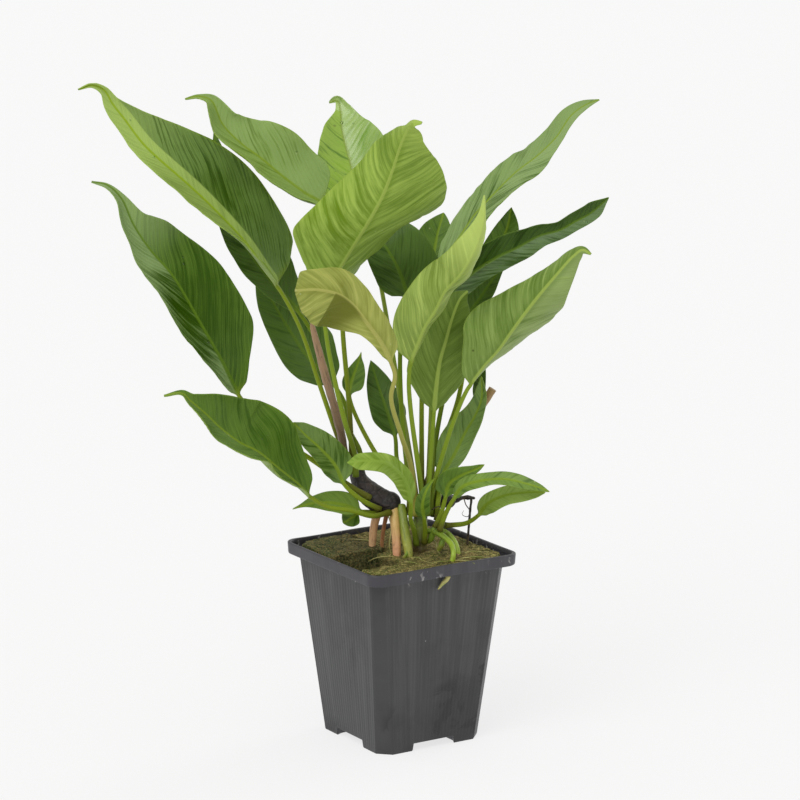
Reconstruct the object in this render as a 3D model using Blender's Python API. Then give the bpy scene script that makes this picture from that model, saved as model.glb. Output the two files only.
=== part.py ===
"""Potted anubias: a leafy water plant rooted in mineral wool in a square nursery pot.

Lengths are millimetres times MM. +Z is up, and the pot's faces lie along X and Y.
Points of the plant are given on the viewer's axes: x to the right, y away from the
viewer and z up from the foot of the pot, seen towards the pot's near corner. turned()
brings them to the pot's axes, and centred() puts the whole plant over the origin.
"""

import math

import bmesh
import bpy
import numpy as np

MM = 0.001
VIEW_TURN = math.radians(-32.5)  # from the viewer's axes to the pot's
VIEW_DROP = math.radians(12.25)  # the viewer looks down by this much

# Pot
HEIGHT = 101
RIM_SIDE = 90
WALL_SIDE = 82  # just under the lip
BASE_SIDE = 63
LIP = 6.6
WALL = 1.5
FLOOR = 5.5
FOOT = 4
NOTCH = 25
CORNER = 6.5  # leg of the chamfered corners
CORNER_POINTS = 4

# Wool
WOOL_TOP_LEFT = 101.2
WOOL_TOP_FRONT = 100.2
GAP = 0.3
HOLE_SIDES = 10

# Leaves
HALF_THICK = 0.35
RIB = 0.8
PETIOLE = (1.45, 1.05)  # radius at the foot and under the blade
ACROSS = 4
SHAPE = (0.62, 1, 0.88, 0.55, 0.12)
SHAPE_AT = (0.1, 0.3, 0.5, 0.7, 0.9)

# Crowns that carry the petioles, as axis foot, radius and top
RIGHT_CROWN = (10, -1, 3.9, 119)
LEFT_CROWN = (-23, 0, 4.0, 140)

COLOURS = {
    "pot": ((0.045, 0.047, 0.05), 0.42),
    "wool": ((0.10, 0.10, 0.035), 0.95),
    "rhizome": ((0.045, 0.025, 0.02), 0.6),
    "stem": ((0.25, 0.36, 0.06), 0.45),
    "dead": ((0.02, 0.016, 0.013), 0.7),
    "sheath": ((0.30, 0.17, 0.10), 0.6),
    "leaf_green": ((0.09, 0.22, 0.012), 0.35),
    "leaf_dark": ((0.035, 0.115, 0.008), 0.3),
    "leaf_pale": ((0.30, 0.42, 0.09), 0.45),
    "leaf_yellow": ((0.48, 0.47, 0.14), 0.5),
}


# Leaf table: petiole and blade points from foot to tip, then half widths (left, right)
# looking from foot to tip, roll of the upper face about the midrib in degrees (0 faces
# the viewer, 180 shows the underside), fold of each half, width fractions at the places
# SHAPE_AT or at, as one row or one for each half, and the margin's waves as (count,
# height, phase).
LEAVES = {
    "upper_left": dict(
        crown=("left", 200), petiole=[(-33, -2, 161), (-42, -2, 188), (-52, -2, 218)],
        blade=[(-63, -2, 239), (-71, -2, 250), (-80, 0, 262), (-99, 7, 281), (-109, 10, 290),
               (-132, 16, 310), (-142, 18, 323), (-148, 18, 331), (-152, 17, 338),
               (-158, 15, 341), (-165, 12, 339)],
        width=(20, 29), roll=(75, -20), fold=(30, 30), at=(0.1, 0.3, 0.5, 0.7, 0.8, 0.9),
        shape=((0.7, 0.75, 0.6, 0.38, 0.35, 0.16), (0.9, 1, 0.87, 0.6, 0.3, 0.1)),
        wave=(2, 1.5, 0.5), rings=14, colour="leaf_green"),
    "left": dict(
        foot=[(-16, -8, 129), (-26, -11, 136)], petiole=[(-44, -12, 149), (-72, -12, 169)],
        blade=[(-83, -12, 184), (-92, -14, 203), (-102, -16, 222), (-116, -16, 247),
               (-128, -14, 261), (-136, -12, 273), (-142, -10, 286), (-149, -10, 293),
               (-157, -10, 295)],
        width=(21, 26), roll=(32, 28), fold=(30, 30), at=(0.1, 0.25, 0.45, 0.6, 0.7, 0.8, 0.9),
        shape=((0.45, 0.75, 1, 0.85, 0.55, 0.4, 0.18), (0.5, 0.95, 0.95, 0.74, 0.6, 0.25, 0.08)),
        wave=(2.5, 1.5, 1), rings=14, colour="leaf_green"),
    "top_left": dict(
        crown=("left", 115), petiole=[(-27, 9, 175), (-30, 8, 212), (-32, 2, 258)],
        blade=[(-40, -4, 282), (-49, -4, 288), (-60, -2, 296), (-71, 0, 305), (-82, 2, 313),
               (-91, 5, 322), (-97, 8, 334), (-103, 8, 336), (-110, 6, 335)],
        width=(25, 21), roll=(42, 35), fold=(36, 38),
        shape=((0.68, 0.95, 0.88, 0.6, 0.22), (0.95, 1, 0.9, 0.48, 0.1)),
        wave=(2.5, 1.5, 0.2), rings=13, colour="leaf_green"),
    "low_left": dict(
        foot=[(-6, -6.8, 121), (-15, -18, 122)], petiole=[(-26, -26, 127), (-38, -30, 130)],
        blade=[(-46, -34, 136), (-53, -38, 144), (-63, -44, 154), (-72, -49, 163),
               (-81, -54, 169), (-90, -58, 177), (-98, -62, 186), (-105, -65, 193),
               (-109, -66, 197), (-118, -66, 196)],
        width=(24, 25), roll=(62, 34), fold=(36, 36), shape=(0.5, 0.93, 0.98, 0.68, 0.1),
        wave=(2.5, 1, 0), rings=13, colour="leaf_green"),
    "low_small": dict(
        foot=[(-11, -8, 123)], petiole=[(-21, -14, 130)],
        blade=[(-29, -16, 138), (-34, -18, 149), (-42, -21, 159), (-49, -23, 166), (-55, -25, 173)],
        width=(8, 10), roll=(10, 20), fold=(20, 25), shape=(0.62, 1, 0.95, 0.8, 0.45),
        wave=(2, 0.6, 0), rings=9, colour="leaf_green"),
    "centre": dict(
        crown=("left", 265), petiole=[(-29, -16, 172), (-35, -22, 200), (-38, -26, 219)],
        blade=[(-39, -27, 235), (-33, -31, 250), (-25, -38, 265), (-16, -48, 281), (-9, -57, 295),
               (-4, -66, 309), (0, -78, 323), (3, -88, 331), (6, -98, 337), (10, -102, 337)],
        width=(37, 31), roll=(220, 218, 188, 158, 158), fold=(32, 32),
        at=(0.1, 0.22, 0.35, 0.5, 0.65, 0.8, 0.9),
        shape=((0.62, 0.95, 1, 0.95, 0.7, 0.42, 0.2), (0.5, 1, 0.86, 0.71, 0.62, 0.3, 0.08)),
        wave=(2, 1.2, 0), rings=15, colour="leaf_pale"),
    "top": dict(
        crown=("right", 114), petiole=[(-2, 22, 185), (-12, 30, 242)],
        blade=[(-18, 34, 267), (-24, 42, 288), (-28, 52, 301), (-31, 60, 312), (-32, 68, 322),
               (-34, 70, 326), (-38, 70, 325)],
        width=(20, 23), roll=(5, 0), fold=(22, 22),
        shape=((0.62, 1, 0.88, 0.55, 0.12), (0.62, 1, 0.95, 0.72, 0.2)),
        wave=(2, 1.2, 0), rings=11, colour="leaf_green"),
    "yellow": dict(
        crown=("right", 245), petiole=[(5, -22, 150), (0, -40, 170), (-5, -52, 192), (-3, -56, 204)],
        blade=[(-5, -58, 211), (-10, -62, 222), (-17, -67, 233), (-24, -71, 243), (-31, -76, 249),
               (-41, -80, 252), (-52, -82, 252)],
        width=(13, 22), roll=(190, 180, 170), fold=(15, 25),
        at=(0.1, 0.3, 0.45, 0.55, 0.7, 0.86, 0.95),
        shape=((0.6, 0.78, 0.8, 0.88, 1, 0.8, 0.72), (0.15, 0.3, 0.8, 1, 0.95, 0.85, 0.62)),
        wave=(2, 1.2, 0), rings=14, colour="leaf_yellow"),
    "pale_right": dict(
        crown=("right", 278), petiole=[(5, -20, 178), (4, -26, 195)],
        blade=[(5, -30, 205), (9, -34, 217), (12, -37, 225), (17, -41, 234), (22, -46, 245),
               (29, -52, 254), (35, -57, 265), (39, -60, 276), (41, -62, 286), (41, -62, 296)],
        width=(18, 19), roll=(222, 205), fold=(46, 38),
        shape=((0.55, 1, 0.8, 0.6, 0.12), (0.68, 0.96, 0.76, 0.6, 0.2)),
        wave=(2, 0.8, 0), rings=12, colour="leaf_pale"),
    "mid_right": dict(
        crown=("right", 311), petiole=[(16, -8, 160)],
        blade=[(17, -10, 175), (18, -13, 188), (20, -15, 203), (23, -16, 214), (26, -16, 225),
               (30, -15, 235), (34, -13, 239)],
        width=(16, 17), roll=(185, 180), fold=(22, 22), shape=(0.5, 1, 0.95, 0.75, 0.4),
        wave=(2, 0.8, 0), rings=10, colour="leaf_pale"),
    "top_right": dict(
        crown=("right", 49), petiole=[(16, 24, 174), (17, 34, 215)],
        blade=[(21, 42, 242), (31, 50, 256), (39, 56, 267), (50, 62, 278), (61, 68, 288),
               (73, 76, 296), (83, 82, 305), (91, 86, 316), (98, 88, 321), (106, 90, 324)],
        width=(17, 14), roll=(-62, -55, -45), fold=(4, 0),
        shape=((0.6, 0.95, 0.82, 0.72, 0.35), (0.7, 0.9, 1, 0.55, 0.3)),
        wave=(2.5, 1.2, 0), rings=12, colour="leaf_green"),
    "right_dark": dict(
        crown=("right", 16), petiole=[(17, 14, 176), (19, 18, 207)],
        blade=[(23, 20, 228), (36, 22, 241), (50, 24, 250), (61, 26, 255), (72, 26, 261),
               (82, 25, 264), (90, 22, 269), (98, 19, 274), (107, 14, 283)],
        width=(11, 10), roll=(0, 0), fold=(35, 35),
        shape=((0.65, 1, 0.85, 0.45, 0.55), (0.85, 0.9, 0.85, 0.55, 0.5)),
        wave=(2, 0.6, 0), rings=12, colour="leaf_dark"),
    "right_low": dict(
        crown=("right", 344), petiole=[(25, -14, 165), (31, -20, 183)],
        blade=[(35, -24, 192), (42, -28, 203), (49, -32, 212), (56, -36, 223), (66, -42, 238),
               (76, -50, 252), (86, -57, 265), (90, -59, 268), (94, -60, 266)],
        width=(23, 23), roll=(240, 227, 195, 164, 160), fold=(30, 34),
        shape=((0.62, 1, 0.8, 0.52, 0.18), (0.5, 1, 0.68, 0.4, 0.22)),
        wave=(2.5, 1.2, 0), rings=13, colour="leaf_pale"),
    "behind_right": dict(
        crown=("right", 60, 1), petiole=[(20, 21, 164), (28, 26, 198)],
        blade=[(34, 28, 216), (43, 30, 230), (50, 31, 240), (57, 31, 248)],
        width=(9, 6), roll=(0, 0), fold=(20, 20), shape=SHAPE, wave=(2, 0.6, 0), rings=8,
        colour="leaf_dark"),
    "far_bright": dict(
        crown=("right", 83, 1), petiole=[(30, 36, 171), (38, 54, 216)],
        blade=[(46, 62, 234), (53, 68, 249), (57, 72, 259), (59, 76, 268)],
        width=(9, 10), roll=(0, 0), fold=(15, 15), shape=(0.62, 1, 0.9, 0.7, 0.3),
        wave=(2, 0.8, 0), rings=8, colour="leaf_green"),
    "far_middle": dict(
        crown=("right", 82), petiole=[(11, 40, 171), (12, 58, 216)],
        blade=[(15, 64, 234), (18, 72, 246), (20, 78, 255), (23, 84, 264)],
        width=(13, 12), roll=(0, 0), fold=(15, 15), shape=(0.62, 1, 0.9, 0.7, 0.3),
        wave=(2, 0.8, 0), rings=8, colour="leaf_green"),
    "dark_middle": dict(
        crown=("right", 212), petiole=[(0, 4, 178), (0, 4, 212)],
        blade=[(3, 2, 232), (-1, 0, 247), (-7, 2, 258), (-13, 8, 266), (-18, 14, 272)],
        width=(14, 21), roll=(10, 0), fold=(20, 10), shape=(0.62, 1, 0.95, 0.75, 0.3),
        wave=(2, 0.8, 0), rings=9, colour="leaf_dark"),
    "back_left": dict(
        crown=("left", 160), petiole=[(-35, 12, 177), (-43, 16, 205)],
        blade=[(-53, 18, 222), (-68, 24, 238), (-83, 34, 257), (-94, 44, 282), (-97, 50, 303),
               (-98, 52, 312)],
        width=(10, 17), roll=(10, 10), fold=(20, 20), shape=(0.62, 1, 0.9, 0.6, 0.25),
        wave=(2, 1, 0), rings=10, colour="leaf_dark"),
    "back_left_low": dict(
        crown=("left", 75), petiole=[(-27, 12, 161), (-29, 16, 173)],
        blade=[(-35, 20, 183), (-49, 26, 197), (-60, 34, 212), (-70, 42, 228), (-76, 46, 242)],
        width=(13, 18), roll=(0, 0), fold=(15, 15), shape=(0.62, 1, 0.9, 0.7, 0.3),
        wave=(2, 1, 0), rings=9, colour="leaf_dark"),
    "low_middle": dict(
        crown=("right", 180), petiole=[(-14, 14, 149)],
        blade=[(-27, 22, 176), (-26, 26, 183), (-23, 32, 191), (-21, 38, 197)],
        width=(5, 7), roll=(0, 0), fold=(15, 15), shape=SHAPE, wave=(1, 0.4, 0), rings=7,
        colour="leaf_green"),
    "dark_low": dict(
        crown=("right", 147), petiole=[(-2, 18, 143)],
        blade=[(-3, 20, 155), (-7, 26, 167), (-12, 34, 180), (-16, 40, 192)],
        width=(9, 10), roll=(0, 0), fold=(15, 15), shape=(0.62, 1, 0.9, 0.7, 0.3),
        wave=(1, 0.6, 0), rings=8, colour="leaf_dark"),
    "low_right": dict(
        crown=("right", 350, 1), petiole=[],
        blade=[(21, 6, 136), (28, 11, 148), (34, 16, 159), (39, 16, 168), (42, 14, 177),
               (42, 12, 189)],
        width=(12, 7), roll=(0, 10), fold=(20, 30), shape=(0.62, 1, 0.9, 0.6, 0.3),
        wave=(2, 0.6, 0), rings=9, colour="leaf_dark"),
    "narrow_right": dict(
        crown=("right", 37, 1), petiole=[(22, 18, 140), (34, 27, 160)],
        blade=[(40, 28, 169), (41, 28, 179), (42, 25, 193), (40, 22, 206)],
        width=(4, 4), roll=(0, 0), fold=(35, 35), shape=SHAPE, wave=(1, 0.3, 0), rings=7,
        colour="leaf_dark"),
    "low_arch": dict(
        foot=[(8, -7.4, 104), (7, -11, 112)], petiole=[(5, -22, 121)],
        blade=[(5, -34, 133), (3, -42, 144), (-1, -52, 153), (-8, -60, 160), (-18, -64, 162),
               (-27, -64, 161)],
        width=(5.5, 5.5), roll=(200, 200), fold=(10, 10), shape=(0.7, 1, 1, 0.95, 0.8),
        wave=(1, 0.4, 0), rings=9, colour="leaf_green"),
    "small_right": dict(
        foot=[(17.6, -7.6, 113.2)], petiole=[(21, -6.5, 121)],
        blade=[(23, -5, 128), (25, -6, 136), (32, -10, 142), (38, -12, 145), (43, -13, 148)],
        width=(7, 6), roll=(0, 0), fold=(15, 15), shape=(0.8, 1, 0.8, 0.5, 0.25),
        wave=(1, 0.4, 0), rings=7, colour="leaf_green"),
    "far_right": dict(
        foot=[(20, -10.8, 112.4)], petiole=[(23, -11, 121)],
        blade=[(27, -12, 129), (32, -16, 137), (41, -20, 141), (53, -24, 143), (66, -28, 141),
               (76, -30, 138)],
        width=(4.5, 4.5), roll=(-30, -30), fold=(15, 15), shape=(0.7, 1, 0.9, 0.9, 0.5),
        wave=(2, 0.4, 0), rings=9, colour="leaf_green"),
    "far_right_low": dict(
        foot=[(23, 0.6, 112.2)], petiole=[(28, 2.5, 112), (34, 2, 113)],
        blade=[(40, -2, 118), (45, -8, 126), (54, -14, 132), (65, -20, 135), (74, -24, 136)],
        width=(5, 6), roll=(-10, -10), fold=(10, 15), shape=(0.6, 1, 0.95, 0.85, 0.5),
        wave=(2, 0.5, 0), rings=9, colour="leaf_green"),
    "low_left_under": dict(
        foot=[(-12.5, -5, 120)], petiole=[],
        blade=[(-20, -9, 122), (-32, -12, 127), (-46, -15, 128), (-56, -16, 125)],
        width=(5, 7), roll=(0, 0), fold=(15, 15), shape=SHAPE, wave=(1, 0.4, 0), rings=7,
        colour="leaf_green"),
    "front_small": dict(
        foot=[(12.2, -7.3, 105), (12.5, -11, 112)], petiole=[],
        blade=[(12, -17, 120), (11, -22, 129), (13, -24, 137), (17, -22, 143)],
        width=(4, 4), roll=(0, 0), fold=(15, 15), shape=(0.7, 1, 0.95, 0.6, 0.2),
        wave=(1, 0.3, 0), rings=7, colour="leaf_green"),
    "ragged": dict(
        foot=[(-15.5, -1, 119.5)], petiole=[],
        blade=[(-21, -2, 120), (-25, -4, 118), (-30, -6, 115)],
        width=(5, 6), roll=(0, 0), fold=(15, 15), shape=(0.7, 1, 1, 0.9, 0.5),
        wave=(1, 0.4, 0), rings=6, colour="leaf_green"),
}

# Stems, roots and wool holes: routes with a radius at the start and at the end
RHIZOME = [((0, 0, 125), 4.8), ((-9, 0, 125), 6.5), ((-17, 0, 130), 6.3), ((-22, 0, 138), 4.6),
           ((-23, 0, 147), 3.6)]
LEFT_ROOTS = {
    "pink": [((-11, 0, 122), 2.3), ((-14, 1, 112), 2.1), ((-15, 2, 100), 1.9), ((-15, 3, 89), 1.6)],
    "thin": [((-7, 0, 121), 1.3), ((-9, 3, 110), 1.1), ((-10, 5, 100), 1.0), ((-10, 5, 91), 0.9)],
    "cream": [((-4, -1, 124), 2.4), ((-3, -8, 114), 2.4), ((-2, -12, 100), 2.2),
              ((-2, -13, 88), 1.8)],
    "green": [((0, -1, 124), 2.4), ((2, -9, 112), 2.5), ((4, -14, 100), 2.3), ((4, -15, 88), 1.8)],
}
RIGHT_STEM = [((9, -3, 88), 3.4), ((10, -2, 104), 3.8), ((10, -1, 118), 3.9), ((10, -1, 127), 3.4)]
RIGHT_ROOTS = {
    "bright": [((10, -2, 109), 1.8), ((16, -7, 111), 1.6), ((21, -12, 110), 1.6),
               ((26, -18, 107), 1.5), ((27, -23, 103), 1.4), ((26, -24, 97), 1.3),
               ((26, -24, 90), 1.2)],
    "second": [((10, 0, 107), 1.7), ((17, 0, 110), 1.6), ((23, -1, 109), 1.5),
               ((28, -6, 105), 1.4), ((30, -10, 98), 1.3), ((30, -10, 91), 1.1)],
}
DEAD = [((20, 12, 120), 3.0), ((24, 13, 123), 4.0), ((28, 13, 120), 3.4)]
DEAD_STICK = [((25, 13, 121), 1.4), ((33, 13, 124), 1.1), ((39, 12, 124), 0.9)]
DEAD_WIRE = [((37, 12, 124), 0.7), ((36, 12, 113), 0.6), ((35, 12, 100), 0.6), ((34, 12, 92), 0.6)]
SHEATH = [((-27.5, -5.2, 140), 1.3), ((-29, -6, 152), 2.0), ((-33, -7, 172), 2.2),
          ((-38, -8, 190), 2.2), ((-43, -8, 210), 2.0), ((-46, -8, 222), 1.2)]
CUT_STUB = [((18.8, 0.8, 116), 1.2), ((19.6, 1.4, 126), 1.2), ((25, 12, 141), 1.4),
            ((34, 19, 158), 1.5), ((43, 19.5, 173), 1.8), ((48, 19.5, 181), 2.2)]


def turned(points):
    """Points on the viewer's axes, in millimetres, on the pot's axes in metres."""
    p = np.asarray(points, float) * MM
    c, s = math.cos(VIEW_TURN), math.sin(VIEW_TURN)
    return np.stack([p[..., 0] * c - p[..., 1] * s, p[..., 0] * s + p[..., 1] * c, p[..., 2]], -1)


def unit(v):
    return v / np.maximum(np.linalg.norm(v, axis=-1, keepdims=True), 1e-12)


def smooth(x, knots, values):
    """The cubic through the knots whose slopes never overshoot."""
    x, knots, values = np.asarray(x, float), np.asarray(knots, float), np.asarray(values, float)
    h = np.diff(knots)
    d = np.diff(values) / h
    slope = np.concatenate([d[:1], np.zeros(len(d) - 1), d[-1:]])
    same = d[:-1] * d[1:] > 0
    w1, w2 = 2 * h[1:] + h[:-1], h[1:] + 2 * h[:-1]
    inner = np.zeros(len(d) - 1)
    inner[same] = (w1 + w2)[same] / (w1[same] / d[:-1][same] + w2[same] / d[1:][same])
    slope[1:-1] = inner
    i = np.clip(np.searchsorted(knots, x, side="right") - 1, 0, len(h) - 1)
    u = (x - knots[i]) / h[i]
    ends = (2 * u**3 - 3 * u**2 + 1) * values[i] + (3 * u**2 - 2 * u**3) * values[i + 1]
    return ends + h[i] * ((u**3 - 2 * u**2 + u) * slope[i] + (u**3 - u**2) * slope[i + 1])


def route(points, before=None, after=None, count=201):
    """Centripetal Catmull-Rom curve through the points, even in arc length."""
    p = np.asarray(points, float)
    first = 2 * p[0] - p[1] if before is None else np.asarray(before, float)
    last = 2 * p[-1] - p[-2] if after is None else np.asarray(after, float)
    p = np.vstack([first, p, last])
    k = np.concatenate([[0], np.cumsum(np.linalg.norm(np.diff(p, axis=0), axis=1) ** 0.5)])
    t = np.linspace(k[1], k[-2], 400)
    seg = np.clip(np.searchsorted(k, t, side="right") - 1, 1, len(p) - 3)
    t = t[:, None]
    k0, k1, k2, k3 = (k[seg + i][:, None] for i in (-1, 0, 1, 2))
    a, b, c, d = (p[seg + i] for i in (-1, 0, 1, 2))
    ab = ((k1 - t) * a + (t - k0) * b) / (k1 - k0)
    bc = ((k2 - t) * b + (t - k1) * c) / (k2 - k1)
    cd = ((k3 - t) * c + (t - k2) * d) / (k3 - k2)
    abc = ((k2 - t) * ab + (t - k0) * bc) / (k2 - k0)
    bcd = ((k3 - t) * bc + (t - k1) * cd) / (k3 - k1)
    curve = ((k2 - t) * abc + (t - k1) * bcd) / (k2 - k1)
    run = np.concatenate([[0], np.cumsum(np.linalg.norm(np.diff(curve, axis=0), axis=1))])
    want = np.linspace(0, run[-1], count)
    return np.stack([np.interp(want, run, curve[:, i]) for i in range(3)], 1)


def sampled(line, t):
    """Points of an evenly spaced line, and its unit tangents, at the fractions t."""
    at = np.linspace(0, 1, len(line))
    slope = np.gradient(line, axis=0)
    places = np.stack([np.interp(t, at, line[:, i]) for i in range(3)], 1)
    return places, unit(np.stack([np.interp(t, at, slope[:, i]) for i in range(3)], 1))


def eased(count):
    """Fractions from 0 to 1 that lie closer together near both ends."""
    u = np.linspace(0, 1, count)
    return u - 0.5 * np.sin(2 * math.pi * u) / (2 * math.pi)


def blade_widths(leaf, t):
    """Width fractions of the left and the right half along the blade."""
    shape = leaf["shape"]
    pair = shape if isinstance(shape[0], tuple) else (shape, shape)
    knots = np.array((0, *leaf.get("at", SHAPE_AT), 1)) ** 0.6
    return [np.maximum(smooth(t**0.6, knots, (0.04, *one, 0.02)), 0.02) for one in pair]


def blade_frames(leaf, t, before):
    """Centre, tangent, upward normal and sideways direction of the blade at t."""
    centre, along = sampled(route(leaf["blade"], before=before), t)
    to_viewer = np.array([0, -math.cos(VIEW_DROP), math.sin(VIEW_DROP)])
    facing = unit(to_viewer - along * (along @ to_viewer)[:, None])
    roll = leaf["roll"]
    turn = np.radians(smooth(t, np.linspace(0, 1, len(roll)), roll))[:, None]
    normal = facing * np.cos(turn) + np.cross(along, facing) * np.sin(turn)
    return centre, along, normal, np.cross(along, normal)


def blade_surface(leaf, t, s, before):
    """Middle surface of the blade, (t, s) grid: folded halves with a waved margin."""
    centre, _, normal, side = blade_frames(leaf, t, before)
    left, right = blade_widths(leaf, t)
    share = np.where((s < 0)[None, :], left[:, None], right[:, None])
    reach = share * np.where(s < 0, *leaf["width"])[None, :] * np.abs(s)[None, :]
    angle = np.radians(np.where(s < 0, *leaf["fold"])) * (0.5 + 0.5 * np.abs(s))
    out = np.sign(s) * reach * np.cos(angle)
    count, height, phase = leaf["wave"]
    swell = np.sin(math.pi * t)[:, None] ** 0.7 * np.abs(s)[None, :] ** 2
    shift = np.where(s < 0, phase, phase + 1.7)[None, :]
    lift = reach * np.sin(angle) + height * swell * np.sin(2 * math.pi * count * t[:, None] + shift)
    place = centre[:, None] + side[:, None] * out[..., None] + normal[:, None] * lift[..., None]
    return place, normal


def seat(crown, azimuth, tier=0):
    """First two points of a petiole that stands against a crown, in tiers outwards."""
    x, y, radius, top = RIGHT_CROWN if crown == "right" else LEFT_CROWN
    a = math.radians(azimuth)
    r = radius + PETIOLE[0] + GAP + 3.2 * tier
    low, high = top - 3 * tier, top + 10 - 3 * tier
    return [(x + r * math.cos(a), y + r * math.sin(a), low),
            (x + (r + 0.6) * math.cos(a), y + (r + 0.6) * math.sin(a), high)]


def petiole_points(leaf):
    foot = seat(*leaf["crown"]) if "crown" in leaf else leaf["foot"]
    return foot + leaf["petiole"] + leaf["blade"][:1]


def leaf_rings(leaf, rings=None, across=ACROSS, petiole_rings=6):
    """Closed rings from the petiole's foot to the blade's tip, each upper then lower."""
    points = petiole_points(leaf)
    t = eased(rings or leaf["rings"])[1:]
    s = np.linspace(-1, 1, across + 1)
    middle, normal = blade_surface(leaf, t, s, points[-2])
    rib = RIB * (1 - 0.8 * t)[:, None] * (s == 0)[None, :]
    upper = middle + normal[:, None] * HALF_THICK
    lower = middle - normal[:, None] * (HALF_THICK + rib)[..., None]
    blade = np.concatenate([upper, lower[:, ::-1]], axis=1)

    u = np.linspace(0, 1, petiole_rings + 1)[:-1]
    line = route(points, after=leaf["blade"][1])
    centre, along = sampled(line, u)
    carried = blade_frames(leaf, np.array([0.0]), points[-2])[2][0]
    angle = math.pi * (1 - (np.arange(across + 1) + 0.5) / (across + 1))
    angle = np.concatenate([angle, -angle[::-1]])
    petiole = []
    for i in range(len(u) - 1, -1, -1):
        carried = unit(carried - along[i] * (along[i] @ carried))
        sideways = np.cross(along[i], carried)
        r = PETIOLE[0] + (PETIOLE[1] - PETIOLE[0]) * u[i]
        spoke = np.cos(angle)[:, None] * sideways + np.sin(angle)[:, None] * carried
        petiole.insert(0, centre[i] + r * spoke)
    return np.concatenate([np.array(petiole), blade])


def tube_rings(stations, sides=8, length_step=None):
    """Closed rings of a round stem through (point, radius) stations."""
    points = [p for p, _ in stations]
    line = route(points)
    count = length_step or 2 * len(stations) - 1
    u = np.linspace(0, 1, count)
    centre, along = sampled(line, u)
    radius = np.interp(u, np.linspace(0, 1, len(stations)), [r for _, r in stations])
    angle = np.arange(sides) * 2 * math.pi / sides
    carried = np.array([0.31, 0.95, 0.02])
    rings = []
    for c, a, r in zip(centre, along, radius):
        carried = unit(carried - a * (a @ carried))
        spoke = np.cos(angle)[:, None] * carried + np.sin(angle)[:, None] * np.cross(a, carried)
        rings.append(c + r * spoke)
    return np.array(rings)


def material(name, colour, roughness):
    made = bpy.data.materials.new(name)
    made.use_nodes = True
    shader = made.node_tree.nodes["Principled BSDF"]
    shader.inputs["Base Color"].default_value = (*colour, 1)
    shader.inputs["Roughness"].default_value = roughness
    shader.inputs["Metallic"].default_value = 0
    return made


def mesh_object(name, points, faces, look, round_faces=True):
    """An object from points in metres, with its own material and outward faces."""
    mesh = bpy.data.meshes.new(name)
    mesh.from_pydata([tuple(p) for p in points], [], faces)
    mesh.update()
    bm = bmesh.new()
    bm.from_mesh(mesh)
    if bm.calc_volume(signed=True) < 0:
        bmesh.ops.reverse_faces(bm, faces=bm.faces)
    bm.to_mesh(mesh)
    bm.free()
    mesh.polygons.foreach_set("use_smooth", [round_faces] * len(mesh.polygons))
    made = bpy.data.objects.new(name, mesh)
    bpy.context.scene.collection.objects.link(made)
    if look:
        colour, roughness = COLOURS[look]
        mesh.materials.append(material(name, colour, roughness))
    return made


def ring_mesh(name, rings, look, round_faces=True):
    """Rings joined by triangles, with a fan over each end."""
    count, sides = rings.shape[:2]
    faces = []
    for k in range(count - 1):
        for j in range(sides):
            a, b = k * sides + j, k * sides + (j + 1) % sides
            c, d = a + sides, b + sides
            upper = j < sides // 2
            faces += [(a, b, d), (a, d, c)] if upper else [(a, b, c), (b, d, c)]
    last = (count - 1) * sides
    for j in range(1, sides - 1):
        faces.append((0, j + 1, j))
        faces.append((last, last + j, last + j + 1))
    return mesh_object(name, rings.reshape(-1, 3), faces, look, round_faces)


def as_tool(thing):
    thing.hide_render = True
    thing.display_type = "WIRE"
    return thing


def boolean(target, tools, operation):
    """Joins the tools to the target or cuts them from it, by a modifier on their collection."""
    group = bpy.data.collections.new(target.name + "_" + operation.lower())
    for tool in tools:
        group.objects.link(as_tool(tool))
    step = target.modifiers.new(operation.title(), "BOOLEAN")
    step.operation = operation
    step.solver = "EXACT"
    step.operand_type = "COLLECTION"
    step.collection = group
    return target


def applied(target):
    """The target with its modifiers made part of its mesh, and their tools removed."""
    groups = [step.collection for step in target.modifiers]
    bpy.context.view_layer.update()
    evaluated = target.evaluated_get(bpy.context.evaluated_depsgraph_get())
    mesh = bpy.data.meshes.new_from_object(evaluated)
    target.modifiers.clear()
    target.data = mesh
    for group in groups:
        for tool in list(group.objects):
            bpy.data.objects.remove(tool, do_unlink=True)
        bpy.data.collections.remove(group)
    return target


def square_ring(side, z, rounding, leg=CORNER):
    """A square with cut corners at height z. rounding 0 is a flat cut and 1 an arc."""
    h = side / 2
    points = []
    for quarter in range(4):
        turn = quarter * math.pi / 2
        for i in range(CORNER_POINTS):
            u = i / (CORNER_POINTS - 1)
            flat = np.array([h - leg * u, h - leg * (1 - u)])
            a = u * math.pi / 2
            arc = np.array([h - leg + leg * math.cos(a), h - leg + leg * math.sin(a)])
            x, y = flat + rounding * (arc - flat)
            points.append((x * math.cos(turn) - y * math.sin(turn),
                           x * math.sin(turn) + y * math.cos(turn), z))
    return points


def box(name, size, centre):
    x, y, z = (np.array([-0.5, 0.5]) * n + c for n, c in zip(size, centre))
    corners = np.array([(a, b, c) for a in x for b in y for c in z]) * MM
    faces = [(0, 1, 3, 2), (4, 6, 7, 5), (0, 4, 5, 1), (2, 3, 7, 6), (0, 2, 6, 4), (1, 5, 7, 3)]
    return mesh_object(name, corners, faces, None)


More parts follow.
